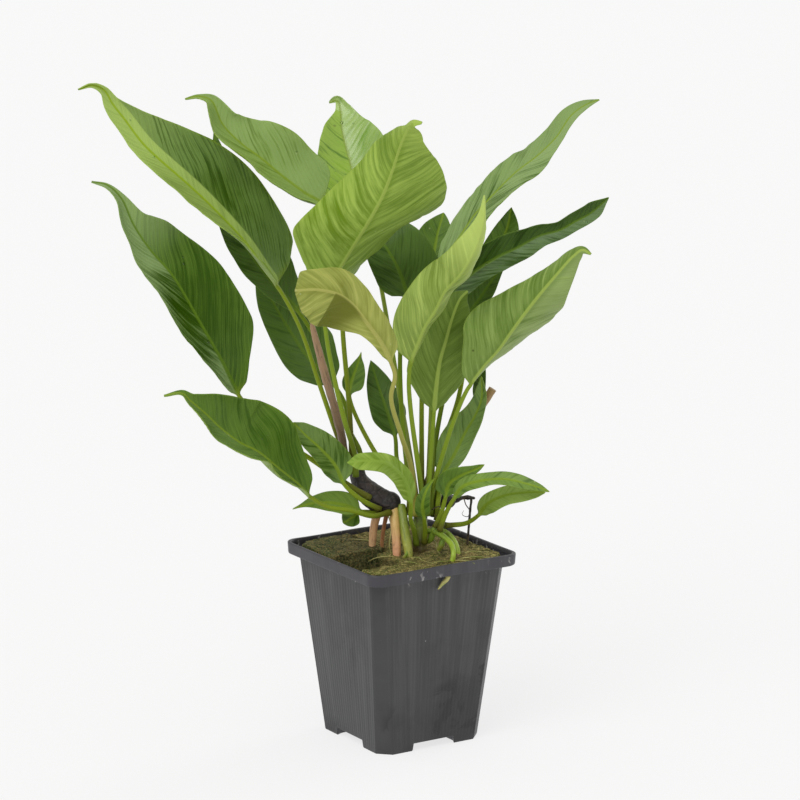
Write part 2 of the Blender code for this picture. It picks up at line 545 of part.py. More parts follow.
def make_pot():
    """A lofted cup with a stepped lip, standing on four feet between crossed notches."""
    under_lip = HEIGHT - LIP
    rings = [
        (BASE_SIDE, 0, 0),
        (WALL_SIDE, under_lip, 0),
        (RIM_SIDE, under_lip + 0.6, 0.8),
        (RIM_SIDE, HEIGHT, 1),
        (RIM_SIDE - 2 * WALL, HEIGHT, 1),
        (RIM_SIDE - 2 * WALL, under_lip + 0.6 + WALL, 0.8),
        (WALL_SIDE - 1.9 * WALL, under_lip + WALL, 0),
        (BASE_SIDE - WALL, FLOOR, 0),
    ]
    points = np.array([square_ring(side, z, r) for side, z, r in rings]) * MM
    pot = ring_mesh("pot", points, "pot", round_faces=False)
    notches = [
        box("notch_x", (2 * BASE_SIDE, NOTCH, 2 * FOOT), (0, 0, 0)),
        box("notch_y", (NOTCH, 2 * BASE_SIDE, 2 * FOOT), (0, 0, 0)),
    ]
    return boolean(pot, notches, "DIFFERENCE")


def wool_block(name, outline, top, holes):
    """A block of wool that tapers with the pot, with a plain hole for each root in it."""
    outline = np.array(outline, float)
    under_lip = HEIGHT - LIP
    levels = [
        (FLOOR + GAP, 0.72),
        (under_lip + 1.2, 0.945),
        (under_lip + 3, 1),
        (top, 1),
    ]
    rings = [np.column_stack([outline * scale, np.full(len(outline), z)]) for z, scale in levels]
    count = len(outline)
    points = np.concatenate(rings) * MM
    faces = [tuple(range(count))[::-1], tuple(range(3 * count, 4 * count))]
    for k in range(3):
        for j in range(count):
            a, b = k * count + j, k * count + (j + 1) % count
            faces.append((a, b, b + count, a + count))
    block = mesh_object(name, points, faces, "wool", round_faces=False)
    tools = []
    for tag, stations in holes.items():
        wide = [(p, r + GAP) for p, r in stations]
        rings = tube_rings(wide, HOLE_SIDES)
        rings[-1] = rings[-1] - np.array([0, 0, 1.0])
        tools.append(ring_mesh(name + "_hole_" + tag, turned(rings), None))
    return boolean(block, tools, "DIFFERENCE")


def make_wool():
    cut = 7.5
    edge = 41
    left = [(-edge, 3), (-8, 3), (-8, edge), (-edge + cut, edge), (-edge, edge - cut)]
    front = [(-edge + cut, -edge), (edge - cut, -edge), (edge, -edge + cut), (edge, edge - cut),
             (edge - cut, edge), (-7, edge), (-7, 0), (-16, 0), (-16, -24), (-edge, -24),
             (-edge, -edge + cut)]
    in_left = {}
    in_front = dict(LEFT_ROOTS, **RIGHT_ROOTS, stem=RIGHT_STEM, wire=DEAD_WIRE)
    for tag in ("pink", "thin"):
        in_left[tag] = in_front[tag]
    wool_block("wool_left", left, WOOL_TOP_LEFT, in_left)
    wool_block("wool_front", front, WOOL_TOP_FRONT, in_front)


def grown(name, body, limbs, look, sides=10):
    """A stem with its branches fused to it."""
    trunk = ring_mesh(name, turned(tube_rings(body, sides)), look)
    tools = [ring_mesh(name + "_" + tag, turned(tube_rings(limb, 8)), None)
             for tag, limb in limbs.items()]
    return applied(boolean(trunk, tools, "UNION")) if tools else trunk


def make_stems():
    grown("rhizome_left", RHIZOME, LEFT_ROOTS, "rhizome")
    grown("stem_right", RIGHT_STEM, RIGHT_ROOTS, "stem")
    grown("dead_rhizome", DEAD, {"stick": DEAD_STICK, "wire": DEAD_WIRE}, "dead", sides=8)
    grown("sheath", SHEATH, {}, "sheath", sides=8)
    grown("cut_stub", CUT_STUB, {}, "stem", sides=8)


def make_leaves():
    for name, leaf in LEAVES.items():
        ring_mesh("leaf_" + name, turned(leaf_rings(leaf)), leaf["colour"])


def centred():
    """Moves every object so that the middle of the whole box is over the origin."""
    bpy.context.view_layer.update()
    corners = np.array([thing.matrix_world @ v.co for thing in bpy.data.objects
                        if not thing.hide_render for v in thing.data.vertices])
    middle = (corners.min(axis=0) + corners.max(axis=0)) / 2
    for thing in bpy.data.objects:
        thing.location.x -= middle[0]
        thing.location.y -= middle[1]


def main():
    for thing in list(bpy.data.objects):
        bpy.data.objects.remove(thing, do_unlink=True)
    make_pot()
    make_wool()
    make_stems()
    make_leaves()
    centred()


main()
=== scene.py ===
"""Potted anubias, dressed: leaves with veins, ribbed nursery pot, mineral wool and roots.

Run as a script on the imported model. Points of the plant are millimetres on the viewer's
axes: x to the right, y away from the viewer and z up from the foot of the pot. placed()
brings them to the model's axes in metres.
"""

import math

import bpy
import numpy as np
from bpy.props import FloatProperty, FloatVectorProperty, PointerProperty
from bpy.types import Operator, Panel, PropertyGroup
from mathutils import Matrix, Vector


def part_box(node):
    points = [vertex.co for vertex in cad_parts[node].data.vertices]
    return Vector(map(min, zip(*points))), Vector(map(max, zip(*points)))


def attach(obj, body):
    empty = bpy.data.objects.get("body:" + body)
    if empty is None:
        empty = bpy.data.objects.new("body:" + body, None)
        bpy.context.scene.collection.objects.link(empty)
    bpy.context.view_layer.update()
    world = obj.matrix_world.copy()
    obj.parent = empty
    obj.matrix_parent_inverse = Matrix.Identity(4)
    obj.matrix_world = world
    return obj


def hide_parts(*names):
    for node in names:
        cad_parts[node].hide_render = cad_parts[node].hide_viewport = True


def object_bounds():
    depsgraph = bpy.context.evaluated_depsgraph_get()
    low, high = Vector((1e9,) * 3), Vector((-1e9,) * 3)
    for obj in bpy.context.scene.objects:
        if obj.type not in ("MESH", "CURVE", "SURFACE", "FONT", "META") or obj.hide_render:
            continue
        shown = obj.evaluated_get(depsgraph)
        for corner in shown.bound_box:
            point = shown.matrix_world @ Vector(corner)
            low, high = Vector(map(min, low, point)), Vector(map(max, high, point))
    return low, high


bl_info = {
    "name": "Potted anubias",
    "version": (1, 0, 0),
    "blender": (4, 5, 0),
    "location": "3D View > Sidebar > Anubias",
    "description": "A leafy water plant rooted in mineral wool in a square nursery pot",
    "category": "Add Mesh",
}

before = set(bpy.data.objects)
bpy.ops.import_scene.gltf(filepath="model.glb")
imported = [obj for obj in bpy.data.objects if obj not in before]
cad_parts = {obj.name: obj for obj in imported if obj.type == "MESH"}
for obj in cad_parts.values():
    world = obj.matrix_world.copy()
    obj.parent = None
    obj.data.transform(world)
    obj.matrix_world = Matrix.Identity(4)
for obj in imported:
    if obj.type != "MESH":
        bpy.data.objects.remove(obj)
CAD_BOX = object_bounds()
CAD_LOW, CAD_HIGH = (np.array(corner) for corner in CAD_BOX)
POT_LOW, POT_HIGH = (np.array(corner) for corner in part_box("pot"))
POT_PLACE = np.array([*(POT_LOW + POT_HIGH)[:2] / 2, 0])

MM = 0.001
TURN = 2 * math.pi
LINE_STEPS = 601  # places along a smooth curve
VIEW_TURN = math.radians(-32.5)  # from the viewer's axes to the pot's
VIEW_DROP = math.radians(12.25)  # the viewer looks down by this much
VIEW_TARGET = (-0.5, 0, 179.3)  # the point in the middle of the picture
FLOOR_REACH = 12  # metres from the middle of the floor to its sides
FLOOR_LIT = 0.2  # the part of the floor's brightness that the lights give it

# Pot and wool, in millimetres
FLOOR = 5.5  # top of the pot's floor
FOOT = 4  # height of the notches between the feet
NOTCH = 25  # width of a notch
NOTCH_EASE = 0.4  # half the width over which a notch's sides rise
CORNER = 6.5  # leg of the chamfered corners
RIBS = 25  # upright ribs on each wall
RIB_DEPTH = 0.12
OFF_WALL = 9.0  # kept as the place across a wall where there is no wall
GAP = 0.3  # clearance between neighbours
EDGE = 41  # half the side of the wool's top
CUT = 7.5  # leg of its cut corners
WOOL_ROUND = 1.5  # radius of its upper edge
# Outlines of the two blocks of wool, seen from above
WOOL_LEFT = [(-EDGE, 3), (-8, 3), (-8, EDGE), (-EDGE + CUT, EDGE), (-EDGE, EDGE - CUT)]
WOOL_FRONT = [(-EDGE + CUT, -EDGE), (EDGE - CUT, -EDGE), (EDGE, -EDGE + CUT), (EDGE, EDGE - CUT),
              (EDGE - CUT, EDGE), (-7, EDGE), (-7, 0), (-16, 0), (-16, -24), (-EDGE, -24),
              (-EDGE, -EDGE + CUT)]
WOOL_TOPS = (101.2, 100.2)  # heights of the left and the front block

# Leaves
RIB = 0.8  # height of the midrib on the lower face
FOLD_ROUND = 1.2  # how far from the midrib the fold is rounded
VEIN_PITCH = 4.6  # from one side vein to the next
COLUMNS = (12, 20)  # steps across each half of a small and of a large leaf
LARGE = 10  # a leaf with this many rings or more is large
PETIOLE = (1.45, 1.05)  # radius at the foot and under the blade
SHAPE = (0.62, 1, 0.88, 0.55, 0.12)  # width fractions of an ordinary blade
SHAPE_AT = (0.1, 0.3, 0.5, 0.7, 0.9)

# Crowns that carry the petioles, as axis foot, radius and top. A petiole of a further tier
# stands further out and lower.
CROWNS = {"right": (10, -1, 3.9, 119), "left": (-23, 0, 4.0, 140)}
TIER_OUT, TIER_DOWN = 3.2, 3

# Leaf table: petiole and blade points from foot to tip, then half widths (left, right)
# looking from foot to tip, roll of the upper face about the midrib in degrees (0 faces
# the viewer, 180 shows the underside), fold of each half, width fractions at the places
# SHAPE_AT or at, as one row or one for each half, the margin's waves as (count, height,
# phase), rings for how finely it is divided, and colour for its slot. ORDINARY holds what a
# leaf has where its row names nothing else.
ORDINARY = dict(petiole=[], roll=(0, 0), fold=(15, 15), shape=SHAPE, wave=(2, 0.8, 0),
                colour="leaf_green")
LEAVES = {
    "upper_left": dict(
        crown=("left", 200), petiole=[(-33, -2, 161), (-42, -2, 188), (-52, -2, 218)],
        blade=[(-63, -2, 239), (-71, -2, 250), (-80, 0, 262), (-99, 7, 281), (-109, 10, 290),
        (-132, 16, 310), (-142, 18, 323), (-148, 18, 331), (-152, 17, 338), (-158, 15, 341),
        (-165, 12, 339)], width=(20, 29), roll=(75, -20), fold=(30, 30), at=(0.1, 0.3, 0.5, 0.7, 0.8, 0.9),
        shape=((0.7, 0.75, 0.6, 0.38, 0.35, 0.16), (0.9, 1, 0.87, 0.6, 0.3, 0.1)), wave=(2, 1.5, 0.5),
        rings=14),
    "left": dict(
        foot=[(-16, -8, 129), (-26, -11, 136)], petiole=[(-44, -12, 149), (-72, -12, 169)],
        blade=[(-83, -12, 184), (-92, -14, 203), (-102, -16, 222), (-116, -16, 247), (-128, -14, 261),
        (-136, -12, 273), (-142, -10, 286), (-149, -10, 293), (-157, -10, 295)], width=(21, 26),
        roll=(32, 28), fold=(30, 30), at=(0.1, 0.25, 0.45, 0.6, 0.7, 0.8, 0.9),
        shape=((0.45, 0.75, 1, 0.85, 0.55, 0.4, 0.18), (0.5, 0.95, 0.95, 0.74, 0.6, 0.25, 0.08)),
        wave=(2.5, 1.5, 1), rings=14),
    "top_left": dict(
        crown=("left", 115), petiole=[(-27, 9, 175), (-30, 8, 212), (-32, 2, 258)], blade=[(-40, -4, 282),
        (-49, -4, 288), (-60, -2, 296), (-71, 0, 305), (-82, 2, 313), (-91, 5, 322), (-97, 8, 334),
        (-103, 8, 336), (-110, 6, 335)], width=(25, 21), roll=(42, 35), fold=(36, 38),
        shape=((0.68, 0.95, 0.88, 0.6, 0.22), (0.95, 1, 0.9, 0.48, 0.1)), wave=(2.5, 1.5, 0.2), rings=13),
    "low_left": dict(
        foot=[(-6, -6.8, 121), (-15, -18, 122)], petiole=[(-26, -26, 127), (-38, -30, 130)],
        blade=[(-46, -34, 136), (-53, -38, 144), (-63, -44, 154), (-72, -49, 163), (-81, -54, 169),
        (-90, -58, 177), (-98, -62, 186), (-105, -65, 193), (-109, -66, 197), (-118, -66, 196)],
        width=(24, 25), roll=(62, 34), fold=(36, 36), shape=(0.5, 0.93, 0.98, 0.68, 0.1), wave=(2.5, 1, 0),
        rings=13),
    "low_small": dict(
        foot=[(-11, -8, 123)], petiole=[(-21, -14, 130)], blade=[(-29, -16, 138), (-34, -18, 149),
        (-42, -21, 159), (-49, -23, 166), (-55, -25, 173)], width=(8, 10), roll=(10, 20), fold=(20, 25),
        shape=(0.62, 1, 0.95, 0.8, 0.45), wave=(2, 0.6, 0), rings=9),
    "centre": dict(
        crown=("left", 265), petiole=[(-29, -16, 172), (-35, -22, 200), (-38, -26, 219)],
        blade=[(-39, -27, 235), (-33, -31, 250), (-25, -38, 265), (-16, -48, 281), (-9, -57, 295),
        (-4, -66, 309), (0, -78, 323), (3, -88, 331), (6, -98, 337), (10, -102, 337)], width=(37, 31),
        roll=(220, 218, 188, 158, 158), fold=(32, 32), at=(0.1, 0.22, 0.35, 0.5, 0.65, 0.8, 0.9),
        shape=((0.62, 0.95, 1, 0.95, 0.7, 0.42, 0.2), (0.5, 1, 0.86, 0.71, 0.62, 0.3, 0.08)),
        wave=(2, 1.2, 0), rings=15, colour="leaf_pale"),
    "top": dict(
        crown=("right", 114), petiole=[(-2, 22, 185), (-12, 30, 242)], blade=[(-18, 34, 267),
        (-24, 42, 288), (-28, 52, 301), (-31, 60, 312), (-32, 68, 322), (-34, 70, 326), (-38, 70, 325)],
        width=(20, 23), roll=(5, 0), fold=(22, 22), shape=((0.62, 1, 0.88, 0.55, 0.12),
        (0.62, 1, 0.95, 0.72, 0.2)), wave=(2, 1.2, 0), rings=11),
    "yellow": dict(
        crown=("right", 245), petiole=[(5, -22, 150), (0, -40, 170), (-5, -52, 192), (-3, -56, 204)],
        blade=[(-5, -58, 211), (-10, -62, 222), (-17, -67, 233), (-24, -71, 243), (-31, -76, 249),
        (-41, -80, 252), (-52, -82, 252)], width=(13, 22), roll=(190, 180, 170), fold=(15, 25),
        at=(0.1, 0.3, 0.45, 0.55, 0.7, 0.86, 0.95), shape=((0.6, 0.78, 0.8, 0.88, 1, 0.8, 0.72),
        (0.15, 0.3, 0.8, 1, 0.95, 0.85, 0.62)), wave=(2, 1.2, 0), rings=14, colour="leaf_yellow"),
    "pale_right": dict(
        crown=("right", 278), petiole=[(5, -20, 178), (4, -26, 195)], blade=[(5, -30, 205), (9, -34, 217),
        (12, -37, 225), (17, -41, 234), (22, -46, 245), (29, -52, 254), (35, -57, 265), (39, -60, 276),
        (41, -62, 286), (41, -62, 296)], width=(18, 19), roll=(222, 205), fold=(46, 38),
        shape=((0.55, 1, 0.8, 0.6, 0.12), (0.68, 0.96, 0.76, 0.6, 0.2)), rings=12, colour="leaf_pale"),
    "mid_right": dict(
        crown=("right", 311), petiole=[(16, -8, 160)], blade=[(17, -10, 175), (18, -13, 188),
        (20, -15, 203), (23, -16, 214), (26, -16, 225), (30, -15, 235), (34, -13, 239)], width=(16, 17),
        roll=(185, 180), fold=(22, 22), shape=(0.5, 1, 0.95, 0.75, 0.4), rings=10, colour="leaf_pale"),
    "top_right": dict(
        crown=("right", 49), petiole=[(16, 24, 174), (17, 34, 215)], blade=[(21, 42, 242), (31, 50, 256),
        (39, 56, 267), (50, 62, 278), (61, 68, 288), (73, 76, 296), (83, 82, 305), (91, 86, 316),
        (98, 88, 321), (106, 90, 324)], width=(17, 14), roll=(-62, -55, -45), fold=(4, 0),
        shape=((0.6, 0.95, 0.82, 0.72, 0.35), (0.7, 0.9, 1, 0.55, 0.3)), wave=(2.5, 1.2, 0), rings=12),
    "right_dark": dict(
        crown=("right", 16), petiole=[(17, 14, 176), (19, 18, 207)], blade=[(23, 20, 228), (36, 22, 241),
        (50, 24, 250), (61, 26, 255), (72, 26, 261), (82, 25, 264), (90, 22, 269), (98, 19, 274),
        (107, 14, 283)], width=(11, 10), fold=(35, 35), shape=((0.65, 1, 0.85, 0.45, 0.55),
        (0.85, 0.9, 0.85, 0.55, 0.5)), wave=(2, 0.6, 0), rings=12, colour="leaf_dark"),
    "right_low": dict(
        crown=("right", 344), petiole=[(25, -14, 165), (31, -20, 183)], blade=[(35, -24, 192),
        (42, -28, 203), (49, -32, 212), (56, -36, 223), (66, -42, 238), (76, -50, 252), (86, -57, 265),
        (90, -59, 268), (94, -60, 266)], width=(23, 23), roll=(240, 227, 195, 164, 160), fold=(30, 34),
        shape=((0.62, 1, 0.8, 0.52, 0.18), (0.5, 1, 0.68, 0.4, 0.22)), wave=(2.5, 1.2, 0), rings=13,
        colour="leaf_pale"),
    "behind_right": dict(
        crown=("right", 60, 1), petiole=[(20, 21, 164), (28, 26, 198)], blade=[(34, 28, 216), (43, 30, 230),
        (50, 31, 240), (57, 31, 248)], width=(9, 6), fold=(20, 20), wave=(2, 0.6, 0), rings=8,
        colour="leaf_dark"),
    "far_bright": dict(
        crown=("right", 83, 1), petiole=[(30, 36, 171), (38, 54, 216)], blade=[(46, 62, 234), (53, 68, 249),
        (57, 72, 259), (59, 76, 268)], width=(9, 10), shape=(0.62, 1, 0.9, 0.7, 0.3), rings=8),
    "far_middle": dict(
        crown=("right", 82), petiole=[(11, 40, 171), (12, 58, 216)], blade=[(15, 64, 234), (18, 72, 246),
        (20, 78, 255), (23, 84, 264)], width=(13, 12), shape=(0.62, 1, 0.9, 0.7, 0.3), rings=8),
    "dark_middle": dict(
        crown=("right", 212), petiole=[(0, 4, 178), (0, 4, 212)], blade=[(3, 2, 232), (-1, 0, 247),
        (-7, 2, 258), (-13, 8, 266), (-18, 14, 272)], width=(14, 21), roll=(10, 0), fold=(20, 10),
        shape=(0.62, 1, 0.95, 0.75, 0.3), rings=9, colour="leaf_dark"),
    "back_left": dict(
        crown=("left", 160), petiole=[(-35, 12, 177), (-43, 16, 205)], blade=[(-53, 18, 222),
        (-68, 24, 238), (-83, 34, 257), (-94, 44, 282), (-97, 50, 303), (-98, 52, 312)], width=(10, 17),
        roll=(10, 10), fold=(20, 20), shape=(0.62, 1, 0.9, 0.6, 0.25), wave=(2, 1, 0), rings=10,
        colour="leaf_dark"),
    "back_left_low": dict(
        crown=("left", 75), petiole=[(-27, 12, 161), (-29, 16, 173)], blade=[(-35, 20, 183), (-49, 26, 197),
        (-60, 34, 212), (-70, 42, 228), (-76, 46, 242)], width=(13, 18), shape=(0.62, 1, 0.9, 0.7, 0.3),
        wave=(2, 1, 0), rings=9, colour="leaf_dark"),
    "low_middle": dict(
        crown=("right", 180), petiole=[(-14, 14, 149)], blade=[(-27, 22, 176), (-26, 26, 183),
        (-23, 32, 191), (-21, 38, 197)], width=(5, 7), wave=(1, 0.4, 0), rings=7),
    "dark_low": dict(
        crown=("right", 147), petiole=[(-2, 18, 143)], blade=[(-3, 20, 155), (-7, 26, 167), (-12, 34, 180),
        (-16, 40, 192)], width=(9, 10), shape=(0.62, 1, 0.9, 0.7, 0.3), wave=(1, 0.6, 0), rings=8,
        colour="leaf_dark"),
    "low_right": dict(
        crown=("right", 350, 1), blade=[(21, 6, 136), (28, 11, 148), (34, 16, 159), (39, 16, 168),
        (42, 14, 177), (42, 12, 189)], width=(12, 7), roll=(0, 10), fold=(20, 30),
        shape=(0.62, 1, 0.9, 0.6, 0.3), wave=(2, 0.6, 0), rings=9, colour="leaf_dark"),
    "narrow_right": dict(
        crown=("right", 37, 1), petiole=[(22, 18, 140), (34, 27, 160)], blade=[(40, 28, 169), (41, 28, 179),
        (42, 25, 193), (40, 22, 206)], width=(4, 4), fold=(35, 35), wave=(1, 0.3, 0), rings=7,
        colour="leaf_dark"),
    "low_arch": dict(
        foot=[(8, -7.4, 104), (7, -11, 112)], petiole=[(5, -22, 121)], blade=[(5, -34, 133), (3, -42, 144),
        (-1, -52, 153), (-8, -60, 160), (-18, -64, 162), (-27, -64, 161)], width=(5.5, 5.5),
        roll=(200, 200), fold=(10, 10), shape=(0.7, 1, 1, 0.95, 0.8), wave=(1, 0.4, 0), rings=9),
    "small_right": dict(
        foot=[(17.6, -7.6, 113.2)], petiole=[(21, -6.5, 121)], blade=[(23, -5, 128), (25, -6, 136),
        (32, -10, 142), (38, -12, 145), (43, -13, 148)], width=(7, 6), shape=(0.8, 1, 0.8, 0.5, 0.25),
        wave=(1, 0.4, 0), rings=7),
    "far_right": dict(
        foot=[(20, -10.8, 112.4)], petiole=[(23, -11, 121)], blade=[(27, -12, 129), (32, -16, 137),
        (41, -20, 141), (53, -24, 143), (66, -28, 141), (76, -30, 138)], width=(4.5, 4.5), roll=(-30, -30),
        shape=(0.7, 1, 0.9, 0.9, 0.5), wave=(2, 0.4, 0), rings=9),
    "far_right_low": dict(
        foot=[(23, 0.6, 112.2)], petiole=[(28, 2.5, 112), (34, 2, 113)], blade=[(40, -2, 118),
        (45, -8, 126), (54, -14, 132), (65, -20, 135), (74, -24, 136)], width=(5, 6), roll=(-10, -10),
        fold=(10, 15), shape=(0.6, 1, 0.95, 0.85, 0.5), wave=(2, 0.5, 0), rings=9),
    "low_left_under": dict(
        foot=[(-12.5, -5, 120)], blade=[(-20, -9, 122), (-32, -12, 127), (-46, -15, 128), (-56, -16, 125)],
        width=(5, 7), wave=(1, 0.4, 0), rings=7),
    "front_small": dict(
        foot=[(12.2, -7.3, 105), (12.5, -11, 112)], blade=[(12, -17, 120), (11, -22, 129), (13, -24, 137),
        (17, -22, 143)], width=(4, 4), shape=(0.7, 1, 0.95, 0.6, 0.2), wave=(1, 0.3, 0), rings=7),
    "ragged": dict(
        foot=[(-15.5, -1, 119.5)], blade=[(-21, -2, 120), (-25, -4, 118), (-30, -6, 115)], width=(5, 6),
        shape=(0.7, 1, 1, 0.9, 0.5), wave=(1, 0.4, 0), rings=6),
}
LEAVES = {name: {**ORDINARY, **leaf} for name, leaf in LEAVES.items()}


def placed(points):
    """Points on the viewer's axes, in millimetres, on the model's axes in metres."""
    p = np.asarray(points, float) * MM
    c, s = math.cos(VIEW_TURN), math.sin(VIEW_TURN)
    turned = np.stack([p[..., 0] * c - p[..., 1] * s, p[..., 0] * s + p[..., 1] * c, p[..., 2]], -1)
    return turned + POT_PLACE


def on_pot(points):
    """Points in millimetres from the middle of the pot's foot, on the model's axes in metres."""
    return np.asarray(points, float) * MM + POT_PLACE


def unit(v):
    """Directions of length one."""
    return v / np.maximum(np.linalg.norm(v, axis=-1, keepdims=True), 1e-12)


def angles(sides):
    """Even angles once round."""
    return np.arange(sides) * TURN / sides


def circle(angle, x, y):
    """Directions at these angles in the plane of x and y: cosine times x plus sine times y."""
    return np.cos(angle)[:, None] * x[..., None, :] + np.sin(angle)[:, None] * y[..., None, :]


def triples(*values):
    """Three numbers for each vertex, each stretched over the whole surface."""
    return np.stack(np.broadcast_arrays(*values), -1)


def step(x, low, high):
    """0 below low and 1 above high, eased between."""
    u = np.clip((np.asarray(x, float) - low) / (high - low), 0, 1)
    return u * u * (3 - 2 * u)


def lattice(cell, seed):
    """A fixed random number from 0 to 1 for each whole-number corner."""
    n = (cell[..., 0] * 73856093) ^ (cell[..., 1] * 19349663) ^ (cell[..., 2] * 83492791)
    n = (n ^ (seed * 2654435)) & 0x7FFFFFFF
    n = ((n ^ (n >> 13)) * 1274126177) & 0x7FFFFFFF
    n = ((n ^ (n >> 16)) * 69069) & 0x7FFFFFFF
    return (n & 0xFFFFF) / 0xFFFFF


def noise(points, size, seed=0):
    """Smooth random bumps from -1 to 1: random numbers at the corners of cubes of the
    given size, blended by the cube's eight corners."""
    p = np.asarray(points, float) / size
    cell = np.floor(p).astype(np.int64)
    f = p - cell
    f = f * f * (3 - 2 * f)
    total = np.zeros(p.shape[:-1])
    for corner in range(8):
        near = np.array([corner & 1, corner >> 1 & 1, corner >> 2 & 1])
        weight = np.where(near, f, 1 - f).prod(axis=-1)
        total += weight * lattice(cell + near, seed)
    return total * 2 - 1


def rough(points, size, seed=0, octaves=3):
    """Noise with finer noise of half the height and half the size on it."""
    return sum(noise(points, size / 2**k, seed + k) / 2**k for k in range(octaves))


def smooth(x, knots, values):
    """The cubic through the knots whose slopes never overshoot."""
    x, knots, values = np.asarray(x, float), np.asarray(knots, float), np.asarray(values, float)
    h = np.diff(knots)
    d = np.diff(values) / h
    slope = np.concatenate([d[:1], np.zeros(len(d) - 1), d[-1:]])
    same = d[:-1] * d[1:] > 0
    w1, w2 = 2 * h[1:] + h[:-1], h[1:] + 2 * h[:-1]
    inner = np.zeros(len(d) - 1)
    inner[same] = (w1 + w2)[same] / (w1[same] / d[:-1][same] + w2[same] / d[1:][same])
    slope[1:-1] = inner
    i = np.clip(np.searchsorted(knots, x, side="right") - 1, 0, len(h) - 1)
    u = (x - knots[i]) / h[i]
    ends = (2 * u**3 - 3 * u**2 + 1) * values[i] + (3 * u**2 - 2 * u**3) * values[i + 1]
    return ends + h[i] * ((u**3 - 2 * u**2 + u) * slope[i] + (u**3 - u**2) * slope[i + 1])


def route(points, before=None, after=None):
    """The smooth curve through the points, at places that are even along its length: the
    Catmull-Rom curve whose knots are spaced by the square root of the points' distance."""
    p = np.asarray(points, float)
    first = 2 * p[0] - p[1] if before is None else np.asarray(before, float)
    last = 2 * p[-1] - p[-2] if after is None else np.asarray(after, float)
    p = np.vstack([first, p, last])
    k = np.concatenate([[0], np.cumsum(np.linalg.norm(np.diff(p, axis=0), axis=1) ** 0.5)])
    t = np.linspace(k[1], k[-2], 2 * LINE_STEPS - 2)
    seg = np.clip(np.searchsorted(k, t, side="right") - 1, 1, len(p) - 3)
    t = t[:, None]
    k0, k1, k2, k3 = (k[seg + i][:, None] for i in (-1, 0, 1, 2))
    a, b, c, d = (p[seg + i] for i in (-1, 0, 1, 2))
    ab = ((k1 - t) * a + (t - k0) * b) / (k1 - k0)
    bc = ((k2 - t) * b + (t - k1) * c) / (k2 - k1)
    cd = ((k3 - t) * c + (t - k2) * d) / (k3 - k2)
    abc = ((k2 - t) * ab + (t - k0) * bc) / (k2 - k0)
    bcd = ((k3 - t) * bc + (t - k1) * cd) / (k3 - k1)
    curve = ((k2 - t) * abc + (t - k1) * bcd) / (k2 - k1)
    run = np.concatenate([[0], np.cumsum(np.linalg.norm(np.diff(curve, axis=0), axis=1))])
    want = np.linspace(0, run[-1], LINE_STEPS)
    return np.stack([np.interp(want, run, curve[:, i]) for i in range(3)], 1)


def length_of(line):
    """Length of a line through its points."""
    return float(np.linalg.norm(np.diff(line, axis=0), axis=1).sum())


def sampled(line, t):
    """Points of an evenly spaced line, and its unit tangents, at the fractions t."""
    at = np.linspace(0, 1, len(line))
    slope = np.gradient(line, axis=0)
    places = np.stack([np.interp(t, at, line[:, i]) for i in range(3)], 1)
    return places, unit(np.stack([np.interp(t, at, slope[:, i]) for i in range(3)], 1))


def carried_frames(along, start):
    """A direction square to a path that is carried along it without twisting."""
    frames = [unit(start - along[0] * (along[0] @ start))]
    for tangent in along[1:]:
        frames.append(unit(frames[-1] - tangent * (tangent @ frames[-1])))
    return np.array(frames)


# Meshes

def ring_faces(rows, columns):
    """Quads between neighbouring closed rings, as whole arrays of vertex numbers."""
    k, j = np.meshgrid(np.arange(rows - 1), np.arange(columns), indexing="ij")
    after = (j + 1) % columns
    quads = np.stack([k * columns + j, k * columns + after,
                      (k + 1) * columns + after, (k + 1) * columns + j], -1)
    return quads.reshape(-1, 4)


def fan(ring, centre, outwards):
    """Triangles from a closed ring of vertex numbers to one centre vertex."""
    after = np.roll(ring, -1)
    middle = np.full(len(ring), centre)
    return np.stack([ring, after, middle] if outwards else [after, ring, middle], -1)


def capped_tube(rings):
    """Closed rings joined by quads, with a fan over each end. Gives points and faces."""
    rows, columns = rings.shape[:2]
    points = np.vstack([rings.reshape(-1, 3), rings[0].mean(axis=0), rings[-1].mean(axis=0)])
    first = np.arange(columns)
    last = first + (rows - 1) * columns
    faces = ring_faces(rows, columns).tolist()
    faces += fan(first, rows * columns, False).tolist()
    faces += fan(last, rows * columns + 1, True).tolist()
    return points, faces


def joined(parts):
    """Several (points, faces) pairs as one, with the vertex numbers moved along."""
    points, faces, start = [], [], 0
    for p, f in parts:
        points.append(p)
        faces += [[i + start for i in face] for face in f]
        start += len(p)
    return np.vstack(points), faces


def volume(points, faces):
    """Signed volume of a closed mesh, from the triangles of each face."""
    total = 0.0
    for size in (3, 4):
        some = np.array([f for f in faces if len(f) == size], dtype=int)
        if len(some) == 0:
            continue
        for k in range(1, size - 1):
            a, b, c = (points[some[:, i]] for i in (0, k, k + 1))
            total += float(np.einsum("ij,ij->i", a, np.cross(b, c)).sum())
    return total / 6


def piece(name, points, faces, finish, nodes=(), notes=None):
    """A closed piece from points in metres, riding on the root body. notes are numbers
    along the surface, one triple per vertex, which its finish reads."""
    points = np.clip(points, CAD_LOW, CAD_HIGH)
    if volume(points - points.mean(axis=0), faces) < 0:
        faces = [face[::-1] for face in faces]
    mesh = bpy.data.meshes.new(name)
    mesh.from_pydata(points.tolist(), [], faces)
    for label, values in (notes or {}).items():
        note = mesh.attributes.new(label, "FLOAT_VECTOR", "POINT")
        note.data.foreach_set("vector", np.asarray(values, np.float32).ravel())
    mesh.polygons.foreach_set("use_smooth", np.ones(len(mesh.polygons), bool))
    mesh.materials.append(finish)
    mesh.validate()
    made = bpy.data.objects.new(name, mesh)
    bpy.context.scene.collection.objects.link(made)
    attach(made, "root")
    for node in nodes:
        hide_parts(node)
    return made


# Leaf blades

